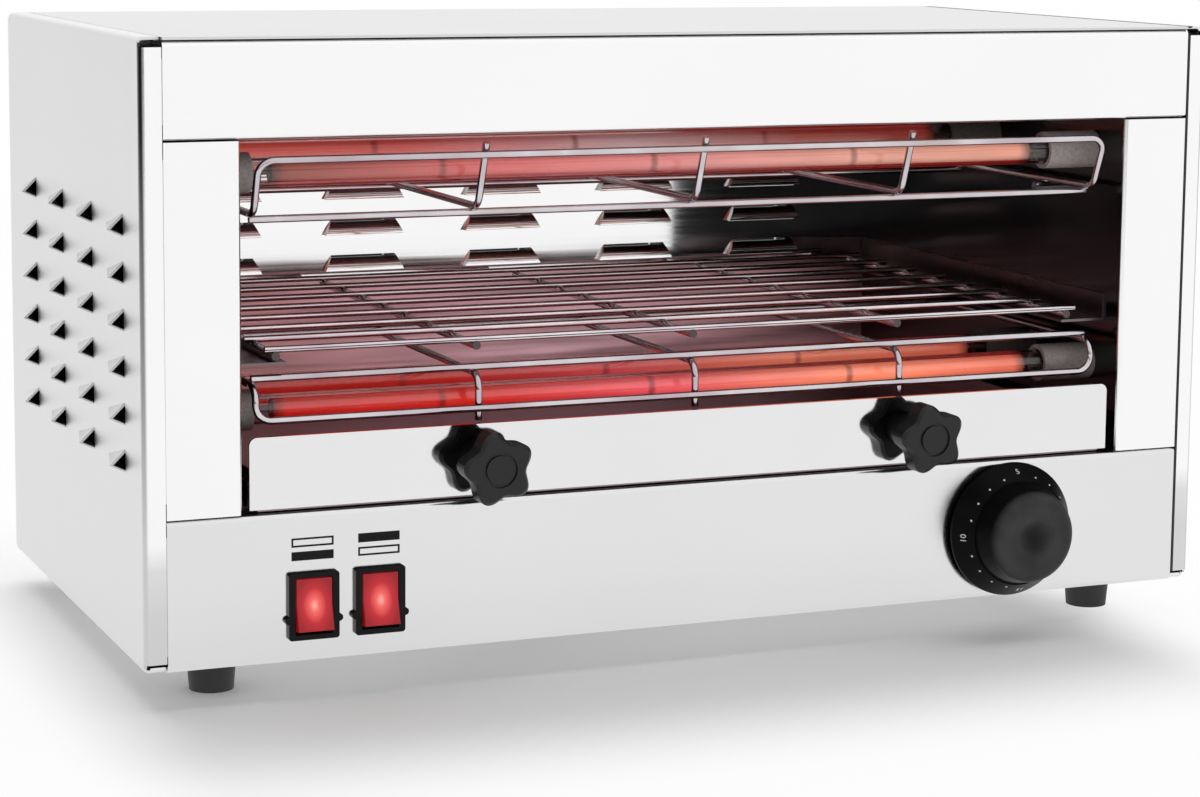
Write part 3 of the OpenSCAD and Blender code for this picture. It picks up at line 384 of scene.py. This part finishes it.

# %% [markdown]
# The back panel is a mirror above the food grid, with a brown painted shade in the hollows of its louvres.
# Below the grid it faces the lower tubes at close range, so it is dull, carries a stain, and is bathed in
# their red light. The windings are too small to throw that much light in a render, so a faint glow in the
# finish stands for it, on the inside face only. The outside never meets the heat and keeps a plain satin
# finish, and the parts of the inside that lie beyond the chamber are painted nearly black as painted shade.

# %% Back finish
BACK_FACE, HALF_SHEET, A_HAIR = front_y + 223 * MM, 0.5 * MM, 0.05 * MM
STAIN_TOP, STAIN_FADE = case_z + 106 * MM, 6 * MM
SATIN_SHARE, DULLEST = 0.55, 0.38
BATHED_HALF = 180 * MM
BATHED_TONES = [(0.0, (0.17, 0.06, 0.055)), (0.55, (0.24, 0.145, 0.165)), (0.86, (0.13, 0.065, 0.07)),
                (1.0, (0.02, 0.010, 0.012))]
back_steel, tree, shader, mirror = polished_sheet("back_steel", 0.94, 0.06, 0.00015, lean=0.055)
low_down = spread(tree, axis_of(tree, "Z"), 1.0, 0.0, STAIN_TOP, STAIN_TOP + STAIN_FADE)
inner_face = link_math(tree, "LESS_THAN", axis_of(tree, "Y"), BACK_FACE + HALF_SHEET)
aside = link_math(tree, "ABSOLUTE", axis_of(tree, "X"), 0.0)
between_walls = link_math(tree, "LESS_THAN", aside, chamber_half)
above_deck = link_math(tree, "GREATER_THAN", axis_of(tree, "Z"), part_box("chamber_deck")[1].z)
in_chamber = link_math(tree, "MULTIPLY", between_walls, above_deck)
stain_and_glow = link_math(tree, "MULTIPLY", link_math(tree, "MULTIPLY", low_down, inner_face), in_chamber)
facing = tree.nodes.new("ShaderNodeNewGeometry")
normal = tree.nodes.new("ShaderNodeSeparateXYZ")
tree.links.new(facing.outputs["Normal"], normal.inputs[0])
turned_in = link_math(tree, "LESS_THAN", normal.outputs["Y"], -0.02)
past_sheet = link_math(tree, "GREATER_THAN", axis_of(tree, "Y"), BACK_FACE + A_HAIR)
in_louvre = link_math(tree, "MULTIPLY", turned_in, past_sheet)
# Painted shade: nearly black beyond the chamber, and brown in the louvre hollows.
dark_beyond_chamber = blend_colors(tree, in_chamber, (0.04, 0.038, 0.038), mirror)
plain = blend_colors(tree, inner_face, (0.80, 0.80, 0.81), dark_beyond_chamber)
louvre_shade = blend_colors(tree, in_louvre, plain, (0.42, 0.27, 0.25))
tree.links.new(blend_colors(tree, stain_and_glow, louvre_shade, (0.62, 0.40, 0.43)), shader.inputs["Base Color"])
even_gloss = shader.inputs["Roughness"].links[0].from_socket
outside = link_math(tree, "SUBTRACT", SATIN_SHARE, link_math(tree, "MULTIPLY", inner_face, SATIN_SHARE))
dulled = link_math(tree, "MAXIMUM", link_math(tree, "MAXIMUM", stain_and_glow, in_louvre), outside)
dulled = link_math(tree, "MULTIPLY", dulled, DULLEST)
tree.links.new(link_math(tree, "ADD", even_gloss, dulled), shader.inputs["Roughness"])
along = spread(tree, axis_of(tree, "X"), 0.0, 1.0, -BATHED_HALF, BATHED_HALF)
tree.links.new(tint(tree, along, BATHED_TONES), shader.inputs["Emission Color"])
streaks = spread(tree, noise(tree, object_point(tree, (9.0, 1.0, 190.0)), 1.0, 3.0), 0.25, 1.75)
tree.links.new(link_math(tree, "MULTIPLY", stain_and_glow, streaks), shader.inputs["Emission Strength"])
dress(back_steel, "back_panel")
print("back finish done")

# %% [markdown]
# ## Bright wire
# The guards and the grid are drawn wire, plated after welding. Heat turns the plating slightly brown and
# violet, more in some places than in others, so the tint follows a slow noise. The cut ends of the grid's
# cross wires are painted dark, a painted shade that keeps them from glinting.

# %% Wire finish
def plated_wire(name, shade):
    material, tree, shader = finish(name, (shade, 0.95 * shade, 0.98 * shade), 0.14, metallic=1.0)
    heat = noise(tree, object_point(tree), 22.0, 3.0)
    browns = [(0.30, (0.73, 0.61, 0.67)), (0.55, (1.0, 0.95, 0.99)), (0.75, (0.78, 0.66, 0.63))]
    tone = tint(tree, heat, [(place, tuple(shade * c for c in color)) for place, color in browns])
    tree.links.new(tone, shader.inputs["Base Color"])
    tree.links.new(spread(tree, heat, 0.08, 0.22), shader.inputs["Roughness"])
    return material, tree, shader, tone


guard_wire = plated_wire("guard_wire", 0.68)[0]
dress(guard_wire, "upper_guard", "lower_guard", "guard_pins")
grid_wire, tree, shader, plating = plated_wire("grid_wire", 0.84)
CUT_DEPTH = 0.02 * MM
shaded_cut_end = link_math(tree, "LESS_THAN", axis_of(tree, "Y"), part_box("food_grid")[0].y + CUT_DEPTH)
tree.links.new(blend_colors(tree, shaded_cut_end, plating, (0.10, 0.08, 0.08)), shader.inputs["Base Color"])
dress(grid_wire, "food_grid")
print("wire finishes done")

# %% [markdown]
# ## Glowing tubes
# A quartz heater is a clear tube around a hot winding. The winding glows, and the quartz only takes on a
# faint red haze beside it, a glow painted on the quartz. The glow isn't even: it is deeper red at the left
# end and paler towards the right, dimmer at the winding's upper and lower edges, and crossed by dark rings of
# painted shade that stand for the guard's cross wires in front of it. All of this follows the winding's own
# coordinates.

# %% Winding finish
COIL_R = 3.8 * MM
COIL_MIDDLE, COIL_HALF = -7 * MM, 159 * MM
WIRE_SHADE_PITCH, WIRE_SHADE_AT = 86 * MM, -14 * MM
REAR_SHARE = 0.48
LOWER_FRONT = [(0.0, (0.40, 0.004, 0.002)), (0.28, (0.55, 0.014, 0.010)), (0.50, (0.76, 0.090, 0.115)),
               (0.75, (1.0, 0.29, 0.16)), (1.0, (0.80, 0.17, 0.10))]
LOWER_REAR = [(place, tuple(REAR_SHARE * c for c in color)) for place, color in LOWER_FRONT]
UPPER_FRONT = [(0.0, (0.12, 0.026, 0.010)), (0.30, (0.56, 0.12, 0.12)), (0.53, (0.60, 0.23, 0.22)),
               (0.75, (0.65, 0.32, 0.24)), (1.0, (0.66, 0.30, 0.20))]
UPPER_REAR = [(0.0, (0.36, 0.055, 0.042)), (0.25, (0.36, 0.065, 0.058)), (0.55, (0.28, 0.22, 0.23)),
              (0.80, (0.13, 0.027, 0.018)), (1.0, (0.10, 0.020, 0.014))]
GLOWS = {"lower_front": LOWER_FRONT, "lower_rear": LOWER_REAR,
         "upper_front": UPPER_FRONT, "upper_rear": UPPER_REAR}


def hot_length(tree):
    from_middle = link_math(tree, "SUBTRACT", axis_of(tree, "X"), COIL_MIDDLE)
    away = link_math(tree, "ABSOLUTE", from_middle, 0.0)
    return spread(tree, away, 1.0, 0.0, COIL_HALF - 5.0 * MM, COIL_HALF + 0.5 * MM)


def glowing(name, stops, axis_z):
    material, tree, shader = finish(name, (0.10, 0.045, 0.04), 0.5)
    along = spread(tree, axis_of(tree, "X"), 0.0, 1.0, COIL_MIDDLE - COIL_HALF, COIL_MIDDLE + COIL_HALF)
    tree.links.new(tint(tree, along, stops), shader.inputs["Emission Color"])
    above = link_math(tree, "ABSOLUTE", link_math(tree, "SUBTRACT", axis_of(tree, "Z"), axis_z), 0.0)
    round_off = spread(tree, above, 1.0, 0.45, 0.3 * COIL_R, COIL_R)
    # Painted shade: dark rings where the guard's cross wires pass in front of the winding.
    from_wire_shade = link_math(tree, "SUBTRACT", axis_of(tree, "X"), WIRE_SHADE_AT)
    gap = link_math(tree, "PINGPONG", from_wire_shade, WIRE_SHADE_PITCH / 2)
    wire_shade = spread(tree, gap, 0.40, 1.0, 0.6 * MM, 2.0 * MM)
    streak = spread(tree, noise(tree, object_point(tree, (25.0, 300.0, 300.0)), 1.0, 2.0), 0.88, 1.12)
    level = link_math(tree, "MULTIPLY", hot_length(tree), round_off)
    level = link_math(tree, "MULTIPLY", level, wire_shade)
    level = link_math(tree, "MULTIPLY", level, streak)
    tree.links.new(level, shader.inputs["Emission Strength"])
    return material


for place, stops in GLOWS.items():
    low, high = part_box("heating_coil_" + place)
    dress(glowing("hot_" + place, stops, (low.z + high.z) / 2), "heating_coil_" + place)
print(len(GLOWS), "windings glow over", round(2 * COIL_HALF / MM), "mm")

# %% [markdown]
# The quartz is a thin clear tube around the winding. It is drawn hot, so its gloss changes slowly along its
# length. Its own shine is kept low, because a brighter one would wash out the red behind it.

# %% Tube finish
quartz, tree, shader = finish("quartz", (0.95, 0.92, 0.91), 0.04)
shader.inputs["Transmission Weight"].default_value = 1.0
shader.inputs["IOR"].default_value = 1.46
shader.inputs["Specular IOR Level"].default_value = 0.08
tree.links.new(spread(tree, noise(tree, object_point(tree, (30.0, 200.0, 200.0)), 1.0), 0.02, 0.07),
               shader.inputs["Roughness"])
# The red haze is a painted glow: emission on the clear quartz that stands for the winding's light in it.
shader.inputs["Emission Color"].default_value = (0.80, 0.035, 0.025, 1.0)
tree.links.new(link_math(tree, "MULTIPLY", hot_length(tree), 0.045), shader.inputs["Emission Strength"])
dress(quartz, *[name for name in NODES if name.startswith("quartz_tube")])
print("quartz is clear, with a faint haze over the winding")


# %% [markdown]
# The tubes end in fired ceramic caps. A fine noise gives the speckle of fired clay. The rear caps, deep at
# the back of the chamber, are painted dark as painted shade. Plain strips join the leads.

# %% Cap and strap finishes
def fired_ceramic(name, shade):
    material, tree, shader = finish(name, (shade, 0.86 * shade, 0.83 * shade), 0.50)
    speckle = noise(tree, object_point(tree), 900.0, 2.0)
    grains = [(0.30, (0.83 * shade, 0.72 * shade, 0.69 * shade)),
              (0.60, (1.12 * shade, 0.97 * shade, 0.95 * shade))]
    tree.links.new(tint(tree, speckle, grains), shader.inputs["Base Color"])
    return material


dress(fired_ceramic("cap_ceramic", 0.42), "tube_caps_upper_front", "tube_caps_lower_front")
dress(fired_ceramic("cap_shaded_rear", 0.11), "tube_caps_upper_rear", "tube_caps_lower_rear")

strip, tree, shader = finish("link_strip", (0.72, 0.60, 0.38), 0.35, metallic=1.0)
tree.links.new(spread(tree, noise(tree, object_point(tree), 60.0), 0.25, 0.5), shader.inputs["Roughness"])
dress(strip, *[name for name in NODES if name.startswith("link_")])
print("caps and straps done")


# %% [markdown]
# ## Moulded plastic and rubber
# Knobs are moulded in a tool with a fine spark-eroded skin, so they have a very small, even roughness.
# Rubber feet are coarser and duller. The switch frames come from a polished tool and are glossy. The timer's
# knob is the blackest piece, with a grey sheen painted on its face.

# %% Plastic finishes
def moulded(name, color, gloss, pores, depth, shine=0.5):
    material, tree, shader = finish(name, color, gloss)
    shader.inputs["Specular IOR Level"].default_value = shine
    skin = noise(tree, object_point(tree), pores, 2.0)
    darker = tuple(0.8 * c for c in color)
    tree.links.new(tint(tree, skin, [(0.3, darker), (0.7, color)]), shader.inputs["Base Color"])
    tree.links.new(spread(tree, skin, gloss - 0.05, gloss + 0.05), shader.inputs["Roughness"])
    relief(tree, shader, skin, depth)
    return material


knob_black = moulded("knob_black", (0.014, 0.014, 0.015), 0.36, 2500.0, 0.00002, shine=0.36)
dial_black = moulded("dial_black", (0.006, 0.006, 0.006), 0.34, 2500.0, 0.00002, shine=0.05)
foot_rubber = moulded("foot_rubber", (0.026, 0.026, 0.027), 0.60, 1500.0, 0.00005)
switch_black = moulded("switch_black", (0.008, 0.007, 0.007), 0.22, 3000.0, 0.00001, shine=0.14)
block_cream = moulded("block_cream", (0.75, 0.70, 0.58), 0.50, 1800.0, 0.00002)
dress(dial_black, "timer_knob")
dress(knob_black, "tray_knob_left", "tray_knob_right", "timer_body", "cable_gland", "gland_nut")
dress(foot_rubber, "foot_front_left", "foot_front_right", "foot_rear_left", "foot_rear_right")
dress(switch_black, "switch_left", "switch_right")
dress(block_cream, "terminal_block")
print("plastic and rubber finishes done")

# %% [markdown]
# The painted sheen on the timer knob's face is told from its sides by the distance from the front of the
# knob. A soft noise makes the sheen patchy. Screws, studs and the timer's shaft are zinc plated.

# %% Painted face sheen and zinc
SHEEN_START, SHEEN_END = 0.5 * MM, 3.5 * MM
tree = dial_black.node_tree
shader = tree.nodes["Principled BSDF"]
fresh = shader.inputs["Base Color"].links[0].from_socket
face_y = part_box("timer_knob")[0].y
painted_sheen = spread(tree, axis_of(tree, "Y"), 1.0, 0.0, face_y + SHEEN_START, face_y + SHEEN_END)
patchy = spread(tree, noise(tree, object_point(tree), 70.0, 3.0), 0.55, 1.0)
sheen_patches = link_math(tree, "MULTIPLY", painted_sheen, patchy)
tree.links.new(blend_colors(tree, sheen_patches, fresh, (0.080, 0.080, 0.080)), shader.inputs["Base Color"])

zinc, tree, shader = finish("zinc_plate", (0.70, 0.70, 0.72), 0.32, metallic=1.0)
tree.links.new(spread(tree, noise(tree, object_point(tree), 400.0), 0.24, 0.42), shader.inputs["Roughness"])
dress(zinc, "timer_screws", "timer_shaft", "knob_studs", "foot_screws", "back_screws")
print("worn face and zinc finishes done")


# %% [markdown]
# ## Lit rockers
# Each rocker is red translucent plastic with a neon lamp behind its middle. The lamp shows as a soft bright
# spot that fades to deep red at the edges. Distance from the rocker's own centre drives both the glow and
# the colour.

# %% Rocker finish
NEON_REACH = 8.5 * MM


def lit_rocker(node):
    low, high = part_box(node)
    centre = (low + high) / 2
    material, tree, shader = finish(node + "_red", (0.36, 0.010, 0.016), 0.22)
    offset = tree.nodes.new("ShaderNodeVectorMath")
    offset.operation = "SUBTRACT"
    tree.links.new(object_point(tree), offset.inputs[0])
    offset.inputs[1].default_value = centre
    flatten = tree.nodes.new("ShaderNodeVectorMath")
    flatten.operation = "MULTIPLY"
    flatten.inputs[1].default_value = (1.15, 0.0, 0.8)
    tree.links.new(offset.outputs[0], flatten.inputs[0])
    away = tree.nodes.new("ShaderNodeVectorMath")
    away.operation = "LENGTH"
    tree.links.new(flatten.outputs[0], away.inputs[0])
    reach = link_math(tree, "MULTIPLY", away.outputs["Value"], 1.0 / NEON_REACH)
    glow = tint(tree, reach, [(0.0, (1.0, 0.58, 0.46)), (0.24, (0.95, 0.16, 0.14)),
                              (0.60, (0.45, 0.014, 0.022)), (1.0, (0.16, 0.002, 0.005))])
    tree.links.new(glow, shader.inputs["Emission Color"])
    shader.inputs["Emission Strength"].default_value = 0.75
    shader.inputs["Coat Weight"].default_value = 0.15
    shader.inputs["Specular IOR Level"].default_value = 0.3
    dress(material, node)


for node in ("rocker_left", "rocker_right"):
    lit_rocker(node)
print("rockers lit")


# %% [markdown]
# ## Printed marks
# Ink has almost no thickness, so each mark is a sheet a few hundredths of a millimetre thick that lies on
# the surface it is printed on. A texture would do for a picture, but a thin piece keeps its edges sharp at
# any distance. Every mark is tied to the body that it is printed on.

# %% Ink
INK = 0.06 * MM
black_ink, tree, shader = finish("black_ink", (0.010, 0.010, 0.011), 0.45)
shader.inputs["Specular IOR Level"].default_value = 0.15
tree.links.new(spread(tree, noise(tree, object_point(tree), 3000.0), 0.38, 0.52), shader.inputs["Roughness"])
white_ink, tree, shader = finish("white_ink", (0.85, 0.85, 0.84), 0.5)
tree.links.new(spread(tree, noise(tree, object_point(tree), 3000.0), 0.42, 0.58), shader.inputs["Roughness"])
print("ink is", round(INK / MM, 2), "mm thick")


# %% [markdown]
# The panel carries one small pictogram above each switch: two bars, the filled one showing which pair of
# tubes the switch feeds. The open bar is four thin slabs around its edge.

# %% Switch marks
MARK_HALF, MARK_LINE = 8.0 * MM, 0.70 * MM
UPPER_BAR, LOWER_BAR = (42.6 * MM, 46.0 * MM), (37.6 * MM, 40.9 * MM)


def add_piece(name, mesh_builder, material, body):
    mesh = bpy.data.meshes.new(name)
    shape = bmesh.new()
    mesh_builder(shape)
    bmesh.ops.recalc_face_normals(shape, faces=shape.faces)
    shape.to_mesh(mesh)
    shape.free()
    mesh.materials.append(material)
    piece = bpy.data.objects.new(name, mesh)
    bpy.context.scene.collection.objects.link(piece)
    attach(piece, body)


def slab(shape, x0, x1, z0, z1, y_back):
    corners = [(x, y, z) for x in (x0, x1) for y in (y_back - INK, y_back) for z in (z0, z1)]
    verts = [shape.verts.new(corner) for corner in corners]
    for face in ((0, 1, 3, 2), (4, 6, 7, 5), (0, 4, 5, 1), (2, 3, 7, 6), (0, 2, 6, 4), (1, 5, 7, 3)):
        shape.faces.new([verts[i] for i in face])


def bar_marks(shape, x, bars):
    left, right = x - MARK_HALF, x + MARK_HALF
    for (z0, z1), filled in bars:
        low, high = case_z + z0, case_z + z1
        if filled:
            slab(shape, left, right, low, high, front_y)
            continue
        slab(shape, left, right, low, low + MARK_LINE, front_y)
        slab(shape, left, right, high - MARK_LINE, high, front_y)
        slab(shape, left, left + MARK_LINE, low + MARK_LINE, high - MARK_LINE, front_y)
        slab(shape, right - MARK_LINE, right, low + MARK_LINE, high - MARK_LINE, front_y)


for side, top_filled in (("left", False), ("right", True)):
    low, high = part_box("switch_" + side)
    middle = (low.x + high.x) / 2
    bars = ((UPPER_BAR, top_filled), (LOWER_BAR, not top_filled))
    add_piece("mark_" + side, lambda shape: bar_marks(shape, middle, bars), black_ink,
              "case")
print("switch marks printed")

# %% [markdown]
# The timer's skirt has a dot for each minute and plain numbers at every fifth. The skirt is a cone, so each
# mark is turned to its minute, moved out to its ring and leaned back by the skirt's slope. The marks ride on
# the knob and turn with it.

# %% Dial
dial_low, dial_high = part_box("timer_knob")
dial_x, dial_z = (dial_low.x + dial_high.x) / 2, (dial_low.z + dial_high.z) / 2
SKIRT_R, SKIRT_TOP_R = 27.0 * MM, 21.3 * MM
SKIRT_RIM_Y, SKIRT_TOP_Y = front_y - 3.8 * MM, front_y - 11.6 * MM
SKIRT_SLOPE = math.atan2(SKIRT_RIM_Y - SKIRT_TOP_Y, SKIRT_R - SKIRT_TOP_R)
DOT_R, DOT_RING, NUMBER_RING, NUMBER_SIZE = 0.45 * MM, 22.6 * MM, 24.0 * MM, 3.6 * MM
STEP = math.radians(18.6)
SHOWN, LAST, NUMBER_EVERY = 5, 15, 5


def dial_place(minute, ring):
    climb = (SKIRT_R - ring) / (SKIRT_R - SKIRT_TOP_R)
    y = SKIRT_RIM_Y + climb * (SKIRT_TOP_Y - SKIRT_RIM_Y)
    turn = Matrix.Rotation(-(minute - SHOWN) * STEP, 4, "Y")
    upright = Matrix.Rotation(math.pi / 2 - SKIRT_SLOPE, 4, "X")
    return Matrix.Translation((dial_x, 0.0, dial_z)) @ turn @ Matrix.Translation((0.0, y, ring)) @ upright


def dots(shape):
    for minute in range(LAST + 1):
        if minute % NUMBER_EVERY:
            bmesh.ops.create_cone(shape, cap_ends=True, segments=16, radius1=DOT_R, radius2=DOT_R,
                                  depth=2 * INK, matrix=dial_place(minute, DOT_RING))


add_piece("dial_dots", dots, white_ink, "timer")
for minute in range(0, LAST + 1, NUMBER_EVERY):
    digits = bpy.data.curves.new("dial_%d" % minute, "FONT")
    digits.body = str(minute)
    digits.size = NUMBER_SIZE
    digits.align_x = "CENTER"
    digits.align_y = "CENTER"
    digits.extrude = INK
    digits.resolution_u = 3
    digits.materials.append(white_ink)
    label = bpy.data.objects.new("dial_%d" % minute, digits)
    bpy.context.scene.collection.objects.link(label)
    label.matrix_world = dial_place(minute, NUMBER_RING)
    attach(label, "timer")
print("dial printed on a skirt that slopes", round(math.degrees(SKIRT_SLOPE)), "degrees")

# %% [markdown]
# ## The table
# The table is a plain white sweep that fills the picture and keeps the soft shadow under the case. White
# fill cards lighten the shadow's rim in a studio. Here a share of plain white in the floor's material does
# it, for what the camera and the mirrors see only, so that it throws no light on the steel. The share grows
# with the distance from the case, over a hand's breadth in front and half of that at the sides. The table
# isn't part of the object.

# %% Table
def stage_sheet(name, corners, material):
    mesh = bpy.data.meshes.new(name)
    mesh.from_pydata(corners, [], [(0, 1, 2, 3)])
    mesh.materials.append(material)
    sheet = bpy.data.objects.new(name, mesh)
    bpy.context.scene.collection.objects.link(sheet)
    return sheet


SHADE_MIDDLE, SHADE_X, SHADE_Y = -0.028, 0.180, 0.150
FADE_X, FADE_Y = 0.055, 0.105
FILL_MOST, MIRROR_FILL = 0.90, 0.80
floor_white, tree, shader = finish("floor_white", (0.97, 0.97, 0.97), 0.6)
shader.inputs["Specular IOR Level"].default_value = 0.2


def past(tree, letter, middle, start, length):
    offset = link_math(tree, "SUBTRACT", axis_of(tree, letter), middle)
    away = link_math(tree, "SUBTRACT", link_math(tree, "ABSOLUTE", offset, 0.0), start)
    share = link_math(tree, "MULTIPLY", link_math(tree, "MAXIMUM", away, 0.0), 1.0 / length)
    return link_math(tree, "MULTIPLY", share, share)


past_sides = past(tree, "X", SHADE_MIDDLE, SHADE_X, FADE_X)
past_front = past(tree, "Y", 0.0, SHADE_Y, FADE_Y)
rim = link_math(tree, "ADD", past_sides, past_front)
fade = tree.nodes.new("ShaderNodeMapRange")
fade.interpolation_type = "SMOOTHSTEP"
fade.inputs["To Max"].default_value = FILL_MOST
tree.links.new(link_math(tree, "SQRT", rim, 0.0), fade.inputs["Value"])
path = tree.nodes.new("ShaderNodeLightPath")
to_camera = link_math(tree, "MULTIPLY", path.outputs["Is Camera Ray"], fade.outputs["Result"])
in_mirror = link_math(tree, "MAXIMUM", fade.outputs["Result"], MIRROR_FILL)
in_mirror = link_math(tree, "MULTIPLY", path.outputs["Is Glossy Ray"], in_mirror)
fill = tree.nodes.new("ShaderNodeEmission")
blend = tree.nodes.new("ShaderNodeMixShader")
tree.links.new(link_math(tree, "ADD", to_camera, in_mirror), blend.inputs[0])
tree.links.new(shader.outputs[0], blend.inputs[1])
tree.links.new(fill.outputs[0], blend.inputs[2])
tree.links.new(blend.outputs[0], tree.nodes["Material Output"].inputs["Surface"])
FLOOR_HALF = 14
floor_corners = [(x * FLOOR_HALF, y * FLOOR_HALF, 0) for x, y in ((-1, -1), (1, -1), (1, 1), (-1, 1))]
stage_sheet("white_floor", floor_corners, floor_white)
print("table laid")

# %% [markdown]
# Two low black flags stand to the left of the table and behind the camera. A polished box needs something
# dark to mirror, and the flags give the steel its darker edges. The camera doesn't see them, and they aren't
# part of the object either.

# %% Flags
flag_black = finish("flag_black", (0.012, 0.012, 0.012), 0.9)[0]
FLAG_X, FLAG_Y, FLAG_H = -2.4, -2.8, 0.45
FLAG_ENDS = {
    "flag_left": ((FLAG_X, 1.0), (FLAG_X, FLAG_Y)),
    "flag_behind": ((FLAG_X, FLAG_Y), (-0.2, FLAG_Y)),
}
for name, (start, end) in FLAG_ENDS.items():
    flag = stage_sheet(name, [(*start, 0), (*end, 0), (*end, FLAG_H), (*start, FLAG_H)], flag_black)
    flag.visible_camera = False
print("two flags set")
